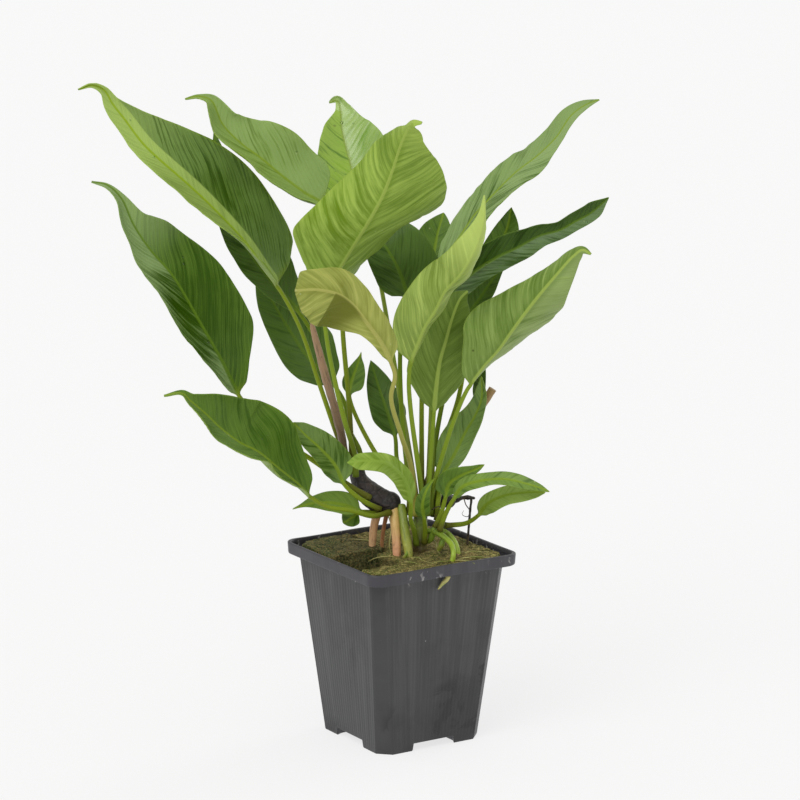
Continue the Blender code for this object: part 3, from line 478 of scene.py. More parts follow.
def blade_widths(leaf, t):
    """Width fractions of the left and the right half along the blade."""
    shape = leaf["shape"]
    pair = shape if isinstance(shape[0], tuple) else (shape, shape)
    knots = np.array((0, *leaf.get("at", SHAPE_AT), 1)) ** 0.6
    return [np.maximum(smooth(t**0.6, knots, (0.04, *one, 0.02)), 0.02) for one in pair]


def blade_frames(leaf, t, before):
    """Centre, upward normal and sideways direction of the blade at t."""
    centre, along = sampled(route(leaf["blade"], before=before), t)
    to_viewer = np.array([0, -math.cos(VIEW_DROP), math.sin(VIEW_DROP)])
    facing = unit(to_viewer - along * (along @ to_viewer)[:, None])
    roll = leaf["roll"]
    turn = np.radians(smooth(t, np.linspace(0, 1, len(roll)), roll))[:, None]
    normal = facing * np.cos(turn) + np.cross(along, facing) * np.sin(turn)
    return centre, normal, np.cross(along, normal)


def blade_surface(leaf, t, s, before):
    """Middle surface of the blade on a (t, s) grid: two halves folded about the midrib,
    each as wide as its width fraction, with a waved and finely rippled margin."""
    centre, normal, side = blade_frames(leaf, t, before)
    left, right = blade_widths(leaf, t)
    share = np.where((s < 0)[None, :], left[:, None], right[:, None])
    reach = share * np.where(s < 0, *leaf["width"])[None, :] * np.abs(s)[None, :]
    angle = np.radians(np.where(s < 0, *leaf["fold"])) * (0.5 + 0.5 * np.abs(s))
    out = np.sign(s) * reach * np.cos(angle)
    count, height, phase = leaf["wave"]
    swell = np.sin(math.pi * t)[:, None] ** 0.7 * np.abs(s)[None, :] ** 2
    shift = np.where(s < 0, phase, phase + 1.7)[None, :]
    soft = np.sqrt(reach**2 + FOLD_ROUND**2) - FOLD_ROUND
    lift = soft * np.sin(angle) + height * swell * np.sin(TURN * count * t[:, None] + shift)
    place = centre[:, None] + side[:, None] * out[..., None] + normal[:, None] * lift[..., None]
    return place, normal, reach


def seat(crown, azimuth, tier=0):
    """First two points of a petiole that stands against a crown, in tiers outwards."""
    x, y, radius, top = CROWNS[crown]
    a = math.radians(azimuth)
    r = radius + PETIOLE[0] + GAP + TIER_OUT * tier
    low = top - TIER_DOWN * tier
    return [(x + out * math.cos(a), y + out * math.sin(a), z) for out, z in ((r, low), (r + 0.6, low + 10))]


def petiole_points(leaf):
    """A leaf's petiole from its foot to the foot of the blade."""
    foot = seat(*leaf["crown"]) if "crown" in leaf else leaf["foot"]
    return foot + leaf["petiole"] + leaf["blade"][:1]


def blade_rings(leaf, sizes, seed, slant, s, angle, before):
    """Rings and notes of a blade. A ring runs over the upper face and back under the lower
    one. The upper face is the middle surface plus half the thickness and the veins' relief
    along its normal, and the lower face is the middle surface minus both and the midrib.
    The first rings blend from the stalk's round into the blade."""
    length = length_of(route(leaf["blade"], before=before))
    t = np.linspace(0, 1, int(np.clip(length / 0.8, 50, 170)) + 1)
    t = t - 0.4 * np.sin(TURN * t) / TURN
    middle, normal, reach = blade_surface(leaf, t, s, before)
    across = reach * np.sign(s)[None, :]
    a = (t * length)[:, None] + 0 * across
    near = np.abs(s)[None, :]
    wander = 0.22 * noise(triples(a, across, 0), 14, seed)
    lean = np.where(s < 0, *slant)[None, :]
    phase = (a - lean * np.abs(across) - 0.012 * across**2) / VEIN_PITCH + wander

    face = unit(np.cross(np.gradient(middle, axis=0), np.gradient(middle, axis=1)))
    face *= np.sign(np.einsum("ijk,ik->ij", face, normal))[..., None]
    face[:2] = face[2]
    fade = step(np.abs(across), 0.8, 4) * (1 - step(near, 0.9, 1)) * step(a, 2, 12)
    quilt = (np.abs(np.sin(math.pi * phase)) ** 0.7 - 0.62) * fade
    quilt = quilt * (1 + 0.8 * rough(middle, 16, seed + 2, 2))
    swell = rough(middle, 22, seed + 5, 2) * step(near, 0, 0.6) * step(a, 3, 20)
    frill = rough(triples(a, near * 9, (s > 0) * 40), 7, seed + 9, 2)
    frill = frill * near**6 * step(reach[:, -1:], 2, 9)
    relief = sizes.relief / MM * quilt + 0.5 * swell + 0.55 * frill
    middle = middle + face * relief[..., None]

    edge = np.sqrt(np.clip((1 - near) / 0.04, 0, 1)) * 0.75 + 0.25
    thick = sizes.thickness / MM / 2 * edge
    rib = RIB * (1 - 0.75 * t)[:, None] * np.exp(-(across / 1.0) ** 2)
    groove = 0.22 * np.exp(-(across / 0.7) ** 2)
    upper = middle + face * (thick - groove)[..., None]
    lower = middle - face * (thick + rib)[..., None]

    centre, normal, side = blade_frames(leaf, t, before)
    shrink = (PETIOLE[1] * (1 - step(t, 0, 0.2)))[:, None, None]
    round_rings = centre[:, None] + circle(angle, side, normal) * shrink - normal[:, None] * 0.2
    blend = step(a[:, :1], 0, 5)[..., None]
    rings = round_rings * (1 - blend) + np.concatenate([upper, lower[:, ::-1]], axis=1) * blend

    grain = np.stack([np.concatenate([x, x[:, ::-1]], axis=1) for x in (a, across, phase)], -1)
    part = triples(t[:, None], np.abs(np.concatenate([s, s[::-1]])), np.repeat([0.0, 1.0], len(s)))
    return rings, grain, part


def stalk_rings(leaf, points, angle):
    """Rings and notes of a petiole: circles carried along its route, thicker at the foot,
    with a channel along the upper side."""
    path = route(points, after=leaf["blade"][1])
    length = length_of(path)
    u = np.linspace(0, 1, int(np.clip(length / 1.6, 12, 60)) + 1)[:-1]
    centre, along = sampled(path, u)
    facing = blade_frames(leaf, np.array([0.0]), points[-2])[1][0]
    carried = carried_frames(along[::-1], facing)[::-1]
    radius = PETIOLE[0] + (PETIOLE[1] - PETIOLE[0]) * u
    radius = radius * (1 + 0.25 * (1 - step(u, 0, 0.12)))
    channel = 1 - 0.22 * np.exp(-((angle - math.pi / 2) / 0.5) ** 2) * step(u, 0, 0.3)[:, None]
    ring = circle(angle, np.cross(along, carried), carried)
    rings = centre[:, None] + ring * (radius[:, None] * channel)[..., None]
    grain = triples(-(1 - u)[:, None] * length, np.degrees(angle) / 180, 0)
    return rings, grain, triples((u - 1)[:, None], 0 * angle, 0.5)


def leaf_form(leaf, sizes, seed, slant):
    """Points, faces and notes of one leaf: closed rings from the petiole's foot to the
    blade's tip. The places s across the blade run from -1 to 1, closer at the midrib and
    with one more beside each margin."""
    half = COLUMNS[leaf["rings"] >= LARGE]
    x = np.linspace(-1, 1, 2 * half + 1)
    s = np.sign(x) * np.abs(x) ** 1.35
    s = np.concatenate([[-1, -0.985], s[1:-1], [0.985, 1]])
    angle = math.pi * (1 - (np.arange(len(s)) + 0.5) / len(s))
    angle = np.concatenate([angle, -angle[::-1]])
    points = petiole_points(leaf)
    stalk = stalk_rings(leaf, points, angle)
    blade = blade_rings(leaf, sizes, seed, slant, s, angle, points[-2])
    rings, grain, part = (np.concatenate(pair) for pair in zip(stalk, blade))
    made, faces = capped_tube(rings)
    notes = {"grain": grain.reshape(-1, 3), "part": part.reshape(-1, 3)}
    return placed(made), faces, {label: np.vstack([x, x[0], x[-1]]) for label, x in notes.items()}


# Pot

def pot_outline(side, rounding, flat):
    """One closed ring of the pot, four sides of points. rounding 0 cuts the corners flat
    and 1 rounds them."""
    h = side / 2
    inner = h - CORNER
    start = np.linspace(0.5, 1, 5)[:-1]
    end = np.linspace(0, 0.5, 5)[1:-1]
    cut = np.stack([h - CORNER * start, h - CORNER * (1 - start)], -1)
    arc = start * math.pi / 2
    bow = np.stack([inner + CORNER * np.cos(arc), inner + CORNER * np.sin(arc)], -1)
    first = cut + rounding * (bow - cut)
    middle = np.stack([-inner * flat, np.full(len(flat), h)], -1)
    cut = np.stack([-(h - CORNER * (1 - end)), h - CORNER * end], -1)
    arc = end * math.pi / 2
    bow = np.stack([-(inner + CORNER * np.sin(arc)), inner + CORNER * np.cos(arc)], -1)
    quarter = np.vstack([first, middle, cut + rounding * (bow - cut)])
    turns = [(math.cos(turn), math.sin(turn)) for turn in np.arange(4) * math.pi / 2]
    return np.vstack([quarter @ np.array([[c, s], [-s, c]]) for c, s in turns])


def coons(boundary):
    """A square grid stretched over a closed ring of four equal sides: each inner point is
    the blend of the four side curves less the blend of the four corners."""
    n = len(boundary) // 4
    ring = np.vstack([boundary, boundary[:1]])
    south, east = ring[:n + 1], ring[n:2 * n + 1]
    north, west = ring[2 * n:3 * n + 1][::-1], ring[3 * n:4 * n + 1][::-1]
    u = np.linspace(0, 1, n + 1)[:, None, None]
    v = np.linspace(0, 1, n + 1)[None, :, None]
    edges = (1 - v) * south[:, None] + v * north[:, None] + (1 - u) * west[None] + u * east[None]
    corners = ((1 - u) * (1 - v) * south[0] + u * (1 - v) * south[-1]
               + (1 - u) * v * north[0] + u * v * north[-1])
    return edges - corners


def coons_ids(n, start):
    """Vertex numbers of the square grid: its rim is the first ring, and its inner points
    are numbered on from start."""
    ring = np.append(np.arange(4 * n), 0)
    ids = np.empty((n + 1, n + 1), int)
    ids[1:-1, 1:-1] = start + np.arange((n - 1) ** 2).reshape(n - 1, n - 1)
    ids[:, 0] = ring[:n + 1]
    ids[-1, :] = ring[n:2 * n + 1]
    ids[:, -1] = ring[2 * n:3 * n + 1][::-1]
    ids[0, :] = ring[3 * n:4 * n + 1][::-1]
    return ids


def grid_faces(ids):
    """Quads of a grid of vertex numbers, facing down."""
    return np.stack([ids[:-1, 1:], ids[1:, 1:], ids[1:, :-1], ids[:-1, :-1]], -1).reshape(-1, 4)


def bristles(feet, ways, lengths, radius, seed):
    """Many thin threads with three sides: rings along a line that starts at each foot,
    leans along its way, bends by a random sideways amount that grows with the square of
    the distance, and narrows to the tip."""
    draw = np.random.default_rng(seed)
    count, rings, sides = len(feet), 5, 3
    ways = unit(ways)
    across = unit(np.cross(ways, draw.normal(size=(count, 3))))
    third = np.cross(ways, across)
    u = np.linspace(0, 1, rings)[None, :, None]
    bend = sum(draw.normal(0, 0.45, (count, 1, 1)) * way[:, None] for way in (across, third))
    line = feet[:, None] + lengths.reshape(-1, 1, 1) * (u * ways[:, None] + u**2 * bend)
    ring = circle(angles(sides), across[:, None], third[:, None])
    tube = line[:, :, None] + ring * (radius * (1 - 0.7 * u))[..., None]
    per = rings * sides
    caps = np.array([[0, 2, 1], [per - 3, per - 2, per - 1]])
    start = (np.arange(count) * per)[:, None, None]
    quads = (ring_faces(rings, sides)[None] + start).reshape(-1, 4).tolist()
    return tube.reshape(-1, 3), quads + (caps[None] + start).reshape(-1, 3).tolist()


def on_leaf(leaf, t, s):
    """Places in millimetres on a blade's middle surface and its outward direction there."""
    before = petiole_points(leaf)[-2]
    places = [blade_surface(leaf, np.array([one, one + 0.004]), np.array([other]), before)
              for one, other in zip(t, s)]
    return np.array([p[0][0, 0] for p in places]), np.array([p[1][0] for p in places])


def drops(places, ways, sizes):
    """Beads of water: flattened half balls, rings from the rim to the top of each, closed
    by a fan under it."""
    rise = np.radians(np.array([-25, 0, 20, 40, 60, 80]))
    wide, high = np.cos(rise)[:, None, None], 0.55 * np.sin(rise)[:, None, None]
    parts = []
    for place, way, size in zip(places, unit(ways), sizes):
        side = unit(np.cross(way, [0.3, 0.2, 0.9]))
        ring = circle(angles(16), side, np.cross(way, side))
        parts.append(capped_tube(place + size * (wide * ring + high * way)))
    return joined(parts)


def pot_form(sizes):
    """Points, faces and notes of the pot: one closed ring of points carried up the ribbed
    outer wall, round the lip and down the inner wall. The lower edge rises over the four
    notches, and the grid under the foot carries them through as crossed channels."""
    height, lip, wall = sizes.height / MM, sizes.lip / MM, sizes.wall / MM
    rim, upper, base = sizes.rim_side / MM, sizes.wall_side / MM, sizes.base_side / MM
    under_lip = height - lip

    def in_notch(across):
        """1 inside a notch and 0 on a foot, by the place across the wall."""
        far = np.abs(across) * (base / 2 - CORNER)
        return 1 - step(far, NOTCH / 2 - NOTCH_EASE, NOTCH / 2 + NOTCH_EASE)

    edges = [side * 0.5 + d for side in (-1, 1) for d in (-0.02, -0.01, 0.01, 0.02)]
    flat = np.unique(np.concatenate([np.linspace(-1, 1, 5 * RIBS + 1), edges]).round(5))
    low, high = pot_outline(base, 0, flat), pot_outline(upper, 0, flat)
    ribs = np.tile(np.concatenate([np.full(4, OFF_WALL), flat, np.full(3, OFF_WALL)]), 4)
    notch = FOOT * in_notch(ribs)
    rib = np.where(np.abs(ribs) < 0.97, 0.5 + 0.5 * np.cos(TURN * ribs * RIBS / 2), 0)
    outward = unit(np.roll(high, -1, axis=0) - np.roll(high, 1, axis=0))[:, ::-1] * [1, -1]
    rings, notes = [], []

    def add(ring, z, zone, sway=0):
        z = z + 0 * ribs
        rings.append(np.column_stack([ring, z + sway]))
        notes.append(np.column_stack([ribs, z / height, zone + 0 * ribs]))

    for z in np.concatenate([[0, 0.35, 1, 2], np.linspace(4, under_lip - 0.5, 34)]):
        at = z + notch * max(0, 1 - z / 10)
        ring = low + (high - low) * (at / under_lip)[:, None]
        bulge = 0.35 * math.sin(math.pi * z / under_lip) * np.cos(np.clip(ribs, -1, 1) * 1.57)
        fade = min(1, z / 6) * min(1, (under_lip - z) / 4)
        tuck = 0.3 * (1 - min(1, z / 0.6)) ** 2
        add(ring + outward * (bulge - RIB_DEPTH * rib * fade - tuck)[:, None], at, 0)

    # The lip: side of the square, height and rounding of its corners, from under it to the inside
    lip_levels = [(upper + 0.3, 94.35, 0.03), (upper + 1.2, 94.6, 0.15), (rim - 1.6, 94.8, 0.68),
                  (rim - 0.7, 94.9, 0.76), (rim - 0.2, 95.1, 0.79), (rim, 95.5, 0.8),
                  (rim, 96.6, 0.85), (rim, 98, 0.9), (rim, 99.4, 0.96), (rim, 100.3, 1),
                  (rim - 0.15, 100.7, 1), (rim - 0.5, 100.93, 1), (rim - 1.0, 101, 1),
                  (rim - 2.2, 101, 1), (rim - 2.7, 100.9, 1), (rim - 3, 100.6, 1),
                  (rim - 3, 98.5, 0.9), (rim - 3, 96.8, 0.8), (rim - 4.2, 96.2, 0.7),
                  (upper - 2.6, 95.8, 0), (upper - 3.0, 94, 0)]
    for side, z, rounding in lip_levels:
        ring = pot_outline(side, rounding, flat)
        sway = 0.25 * noise(np.column_stack([ring, ring[:, 0]]), 28, 3)
        add(ring, z - 101 + height, 1, sway * (side > upper + 1.5))
    for z in np.linspace(under_lip - 4, FLOOR, 9):
        side = base - wall + (upper - 3 - base + wall) * (z - FLOOR) / (under_lip - FLOOR)
        add(pot_outline(side, 0, flat), z, 2)

    rings = np.array(rings)
    rows, columns = rings.shape[:2]
    n, count = columns // 4, rows * columns
    lift = in_notch(ribs[:n + 1])
    depth = FOOT * np.maximum(lift[:, None], lift[None, :])
    under = np.dstack([coons(rings[0][:, :2]), depth])[1:-1, 1:-1].reshape(-1, 3)
    points = np.vstack([rings.reshape(-1, 3), under, [0, 0, FLOOR]])
    faces = ring_faces(rows, columns).tolist() + grid_faces(coons_ids(n, count)).tolist()
    faces += fan(np.arange(count - columns, count), len(points) - 1, True).tolist()
    notes = np.vstack([*notes, np.tile([OFF_WALL, 0, 3], (len(under), 1)), [OFF_WALL, 0, 2]])
    return on_pot(points), faces, {"grain": notes}


# Wool

def wool_form(outline, middle, top, sizes, seed):
    """Points and faces of a block of wool: its outline carried up the tapered sides and
    drawn in over the top to a point inside it. The surface sinks by random bumps."""
    corners = np.array(outline + outline[:1], float)
    run = np.concatenate([[0], np.cumsum(np.linalg.norm(np.diff(corners, axis=0), axis=1))])
    count = int(run[-1] / 1.05)
    along = np.linspace(0, run[-1], count, endpoint=False)
    edge = np.column_stack([np.interp(along, run, corners[:, i]) for i in (0, 1)])
    for _ in range(2):
        edge = (np.roll(edge, 1, axis=0) + 2 * edge + np.roll(edge, -1, axis=0)) / 4
    foot, under_lip = FLOOR + GAP, sizes.height / MM - sizes.lip / MM
    level = np.concatenate([np.linspace(foot, 56, 7), np.linspace(60, top - WOOL_ROUND, 34)])
    scale = np.interp(level, [foot, under_lip + 1.2, under_lip + 3, top], [0.72, 0.945, 1, 1])
    rings = [np.column_stack([edge * k, np.full(count, z)]) for k, z in zip(scale, level)]
    middle = np.array(middle, float)
    reach = np.linalg.norm(edge - middle, axis=1)[:, None]
    for a in np.radians([25, 50, 75]):
        ring = edge + (middle - edge) / reach * WOOL_ROUND * (1 - math.cos(a))
        rings.append(np.column_stack([ring, np.full(count, top - WOOL_ROUND + WOOL_ROUND * math.sin(a))]))
    first = 1 - WOOL_ROUND / reach
    for share in np.linspace(1, 0, 52)[:-1]:
        rings.append(np.column_stack([middle + (edge - middle) * first * share, np.full(count, top)]))
    rings = np.array(rings)
    face = np.cross(np.roll(rings, -1, axis=1) - np.roll(rings, 1, axis=1), np.gradient(rings, axis=0))
    sink = 0.55 + 0.35 * rough(rings, 11, seed, 2) + 0.5 * rough(rings, 3.2, seed + 3, 3)
    sink = sink + 0.35 * np.maximum(rough(rings, 1.5, seed + 8, 2), 0)
    sink = sizes.wool_bumps / MM * np.maximum(sink, 0) * step(rings[..., 2], 50, 62)
    rings = rings - unit(face) * sink[..., None]
    rings[..., 2] = np.minimum(rings[..., 2], top)
    points, faces = capped_tube(rings)
    return on_pot(points), faces


# Stems and roots

def stem_form(stations, around, spacing, relief, tips):
    """Points, faces and notes of a round stem through (point, radius) stations: a circle
    carried along the smooth route, its radius changed by relief(along, angle, points).
    tips are the lengths over which the ends are rounded off."""
    line = route([p for p, _ in stations])
    length = length_of(line)
    u = np.linspace(0, 1, max(8, int(length / spacing)) + 1)
    for end, tip in enumerate(tips):
        if tip:
            u = np.sort(np.concatenate([u, abs(end - np.array([0.1, 0.3, 0.6]) * tip / length)]))
    centre, along = sampled(line, u)
    radius = smooth(u, np.linspace(0, 1, len(stations)), [r for _, r in stations])
    for end, tip in zip((u, 1 - u), tips):
        if tip:
            near = np.clip(end * length / tip, 0, 1)
            radius = radius * np.sqrt(np.clip(1 - (1 - near) ** 2, 0.002, 1))
    angle = angles(around)
    carried = carried_frames(along, np.array([0.31, 0.95, 0.02]))
    ring = circle(angle, carried, np.cross(along, carried))
    rings = centre[:, None] + ring * radius[:, None, None]
    rings = rings + ring * (relief(u * length, angle, rings) * radius[:, None])[..., None]
    points, faces = capped_tube(rings)
    notes = triples((u * length)[:, None], angle, u[:, None]).reshape(-1, 3)
    return placed(points), faces, {"grain": np.vstack([notes, notes[0], notes[-1]])}


def thread(points, radius, sides=5):
    """A thin thread through points, tapered to its tip."""
    u = np.linspace(0, 1, 3 * len(points))
    centre, along = sampled(route(points), u)
    carried = carried_frames(along, np.array([0.2, 0.5, 0.8]))
    ring = circle(angles(sides), carried, np.cross(along, carried))
    return capped_tube(centre[:, None] + ring * (radius * (1 - 0.75 * u**2))[:, None, None])


# Finishes

def paint(red, green, blue):
    """A colour read as it looks, 0 to 255 a channel, as scene-linear numbers."""
    channel = np.array([red, green, blue]) / 255
    linear = np.where(channel > 0.04045, ((channel + 0.055) / 1.055) ** 2.4, channel / 12.92)
    return (*linear.tolist(), 1.0)


class Value:
    """A number that varies over a surface. Arithmetic on it adds Math nodes."""

    def __init__(self, finish, socket):
        self.finish = finish
        self.socket = socket

    def math(self, operation, *values):
        made = self.finish.node("ShaderNodeMath", {"operation": operation}, dict(enumerate(values)))
        return Value(self.finish, made.outputs[0])

    def __add__(self, other):
        return self.math("ADD", self, other)

    def __sub__(self, other):
        return self.math("SUBTRACT", self, other)

    def __rsub__(self, other):
        return self.math("SUBTRACT", other, self)

    def __mul__(self, other):
        return self.math("MULTIPLY", self, other)

    def __abs__(self):
        return self.math("ABSOLUTE", self)

    __radd__ = __add__
    __rmul__ = __mul__

    def fraction(self):
        return self.math("FRACT", self)

    def sine(self):
        return self.math("SINE", self)

    def step(self, low, high):
        """0 below low and 1 above high, eased between."""
        made = self.finish.node("ShaderNodeMapRange", {"interpolation_type": "SMOOTHSTEP"},
                                {"Value": self, "From Min": low, "From Max": high})
        return Value(self.finish, made.outputs["Result"])


class Finish:
    """A procedural material that is built up from named patterns."""

    def __init__(self, name, roughness, **constants):
        self.material = bpy.data.materials.new(name)
        self.material.use_nodes = True
        self.tree = self.material.node_tree
        self.shader = self.tree.nodes["Principled BSDF"]
        self.shader.inputs["Roughness"].default_value = roughness
        for label, value in constants.items():
            self.shader.inputs[label.replace("_", " ").title().replace("Ior", "IOR")].default_value = value

    def node(self, kind, settings=None, sockets=None):
        made = self.tree.nodes.new(kind)
        for label, value in (settings or {}).items():
            setattr(made, label, value)
        for label, value in (sockets or {}).items():
            self.feed(made.inputs[label], value)
        return made

    def feed(self, socket, value):
        value = getattr(value, "socket", value)
        if isinstance(value, bpy.types.NodeSocket):
            self.tree.links.new(value, socket)
        else:
            socket.default_value = value

    def place(self):
        return self.node("ShaderNodeTexCoord").outputs["Object"]

    def note(self, label):
        """The three numbers that a mesh keeps along its surface under this name."""
        made = self.node("ShaderNodeAttribute", {"attribute_name": label})
        parts = self.node("ShaderNodeSeparateXYZ", None, {0: made.outputs["Vector"]})
        return [Value(self, out) for out in parts.outputs]

    def vector(self, x, y, z):
        return self.node("ShaderNodeCombineXYZ", None, {0: x, 1: y, 2: z}).outputs[0]

    def noise(self, scale, detail=3.0, roughness=0.5, vector=None, distortion=0.0):
        made = self.node("ShaderNodeTexNoise", None, {
            "Vector": vector or self.place(), "Scale": scale, "Detail": detail,
            "Roughness": roughness, "Distortion": distortion})
        return Value(self, made.outputs["Fac"])

    def cells(self, scale, feature="F1"):
        made = self.node("ShaderNodeTexVoronoi", {"feature": feature},
                         {"Vector": self.place(), "Scale": scale})
        return Value(self, made.outputs["Distance"])

    def mix(self, first, second, share):
        """The first colour turned into the second by the share."""
        made = self.node("ShaderNodeMix", {"data_type": "RGBA"}, {0: share, 6: first, 7: second})
        return made.outputs[2]

    def bump(self, height, distance, strength):
        sockets = {"Height": height, "Distance": distance, "Strength": strength}
        return self.node("ShaderNodeBump", None, sockets).outputs["Normal"]

    def done(self, colour, normal, roughness=None):
        self.feed(self.shader.inputs["Base Color"], colour)
        self.feed(self.shader.inputs["Normal"], normal)
        if roughness is not None:
            self.feed(self.shader.inputs["Roughness"], roughness)
        return self.material


def shifted(colour, light=1.0, warm=0.0):
    """A colour made lighter, and warmer by moving red and blue apart."""
    gains = (light * (1 + warm), light, light * (1 - warm))
    return (*(min(1, channel * gain) for channel, gain in zip(colour, gains)), 1.0)


def leaf_finish(name, tones):
    """Leaf skin. Streaks and fine lines follow the numbers kept along the veins, and the
    upper face, lower face and stalk are told apart by the numbers kept on the parts. Painted
    light is laid in too: a grey-green painted sheen, a lime half lit by light through it and
    painted shade on the folded part of the lower face."""
    f = Finish(name, 0.4, specular_ior_level=tones["gloss"], coat_weight=tones["coat"], coat_roughness=0.2)
    a, b, phase = f.note("grain")
    t, near, under = f.note("part")
    width = abs(b)
    right = b.step(tones["split"] - 0.5, tones["split"] + 0.5)
    patch = f.noise(38, 4)
    cloud = f.noise(17, 3)
    fine = f.noise(420, 3)
    streak = f.noise(1.0, 4, 0.62, f.vector(phase * tones["streaks"], width * 0.045, right * 7))
    thin = f.noise(1.0, 3, 0.6, f.vector(phase * 5.5, width * 0.06, right * 5))
    line = abs((phase + 0.5).fraction() - 0.5) * 2
    veins = (1 - line.step(0.02, 0.34)) * 0.3 * (cloud * 1.6 - 0.2) + thin.step(0.5, 0.75) * 0.22
    veins = veins * tones["lines"]

    def both(pair):
        return (1 - right) * pair[0] + right * pair[1]

    upper = f.mix(tones["deep"], tones["base"],
                  (streak + patch * 0.35 + cloud * 0.35 - 0.35).step(0.36, 0.62))
    # Painted light: halves turns a half lime where light shines on it and through it. tip makes the tip
    # lighter.
    tip = t.step(tones["tip"], tones["tip"] + 0.3)
    lime = both(tones["halves"]) * (streak * 1.4 + 0.1) + tip * (streak * 0.9 + 0.2)
    upper = f.mix(upper, tones["lime"], lime)
    # Painted sheen: a grey-green cast of reflected light laid in clouds over the upper face, with more of it
    # near the tip and the foot. Its share on each half is given by sheen.
    ends = t * 0.25 + (1 - t.step(0.05, 0.35)) * 0.2
    sheen_and_mottle = (cloud * 0.8 + patch * 0.3 + streak * 0.9 + ends - 0.52).step(0.38, 0.68)
    upper = f.mix(upper, tones["sheen_and_mottle"], sheen_and_mottle * both(tones["sheen"]))
    upper = f.mix(upper, shifted(tones["deep"], 0.8), streak.step(0.51, 0.64) * both(tones["bands"]))
    upper = f.mix(upper, tones["vein"], veins)
    rib = (width * (0.6 + t)).step(0.4, 1.2)
    upper = f.mix(upper, tones["rib"], (1 - rib) * 0.85)

    lower = f.mix(tones["under_deep"], tones["under"],
                  (streak * tones["stripes"] + patch * 0.3 + 0.38 - tones["stripes"] * 0.5).step(0.38, 0.64))
    # Painted sheen on the lower face as well, with its share given by under_sheen.
    lower = f.mix(lower, tones["under_painted_sheen"], sheen_and_mottle * both(tones["under_sheen"]))
    lower = f.mix(lower, tones["under_light"], veins * 1.3 + streak.step(0.52, 0.66) * 0.6)
    lower = f.mix(lower, tones["under_deep"], thin.step(0.52, 0.66) * 0.25)
    lower = f.mix(lower, tones["under_deep"], (1 - width.step(1.0, 4)) * 0.35)
    lower = f.mix(lower, tones["under_rib"], (1 - (width * (0.7 + t)).step(0.6, 1.3)) * 0.8)
    lower = f.mix(lower, tones["under_light"], tip * 0.8)
    # Painted shade: the folded part of the lower face is darkened, from fold's first to its second place
    # along the blade.
    fold_from, fold_to = tones["fold"]
    painted_fold_shade = right * t.step(fold_from, fold_from + 0.16) * (1 - t.step(fold_to - 0.012, fold_to))
    lower = f.mix(lower, shifted(tones["under_deep"], 0.8), painted_fold_shade * 0.9)

    skin = f.mix(upper, lower, under.step(0.3, 0.7))
    skin = f.mix(skin, tones["rib"], near.step(0.95, 1.0) * 0.3)
    spots = (1 - f.cells(170).step(0.05, 0.11)) * f.noise(60).step(0.57, 0.63)
    skin = f.mix(skin, paint(176, 184, 130), spots * 0.45)
    scars = (1 - f.cells(70).step(0.05, 0.085)) * f.noise(33).step(0.6, 0.66)
    skin = f.mix(skin, paint(60, 58, 22), scars * 0.75)

    stalk = f.mix(tones["stalk_low"], tones["stalk"], (t + patch * 0.25).step(-0.8, -0.5))
    fibre = f.noise(1.0, 3, 0.6, f.vector(a * 0.02, b * 4, 0.0))
    stalk = f.mix(stalk, shifted(tones["stalk"], 0.6), fibre.step(0.5, 0.75) * 0.5)
    skin = f.mix(stalk, skin, t.step(-0.01, 0.05))

    height = line * 0.4 + thin * 0.5 + streak * 0.6 + fine * 0.2
    normal = f.bump(height, 0.0004, 0.5)
    shine = tones["shine"] + patch * 0.2 + under.step(0.3, 0.7) * 0.12 + fine * 0.06
    return f.done(skin, normal, shine)


def pot_finish(tones):
    """Moulded plastic: fine upright streaks, scuffs, random darker clouds, white specks and dried splashes,
    with a painted sheen on the lip and painted shade towards the foot.
    """
    f = Finish("pot_plastic", 0.4)
    rib, level, zone = f.note("grain")
    streak = f.noise(1.0, 3, 0.6, f.vector(rib * 26, level * 1.5, 0.0))
    wide = f.noise(1.0, 4, 0.6, f.vector(rib * 7, level * 0.8, 3.0))
    # Random darker clouds in the plastic.
    sheen_and_mottle = f.noise(18, 4, 0.6)
    smudge = f.noise(46, 5, 0.65, distortion=0.6)
    dark = (*[c * 0.55 for c in tones], 1.0)
    plain = (*tones, 1.0)
    pale = (*[min(1, c * 1.9 + 0.01) for c in tones], 1.0)
    colour = f.mix(plain, pale, streak.step(0.45, 0.7) * 0.4 + wide.step(0.42, 0.62) * 0.4)
    # Painted shade darkens the wall towards the foot, and the random clouds darken it further.
    colour = f.mix(colour, dark, (1 - level) * 0.4 + sheen_and_mottle.step(0.44, 0.62) * 0.55)
    colour = f.mix(colour, shifted(dark, 0.55), smudge.step(0.54, 0.6) * f.noise(13).step(0.5, 0.58) * 0.8)
    specks = 1 - f.cells(120).step(0.03, 0.05)
    colour = f.mix(colour, paint(190, 190, 185), specks * f.noise(30).step(0.6, 0.66) * 0.8)
    # Painted sheen: the lip is painted lighter and bluer.
    lip = zone.step(0.4, 0.6)
    colour = f.mix(colour, paint(62, 58, 68), lip * 0.5)
    drip = f.noise(1.0, 3, 0.6, f.vector(rib * 9, level * 14, 0.0)).step(0.6, 0.66)
    smear = drip * f.noise(24, 2).step(0.5, 0.58) * level.step(0.9, 0.95)
    colour = f.mix(colour, paint(186, 184, 180), smear * 0.6)
    fine = f.noise(900, 2)
    normal = f.bump(streak * 0.6 + fine * 0.5, 0.00012, 0.6)
    return f.done(colour, normal, 0.34 + sheen_and_mottle * 0.16 + fine * 0.08)


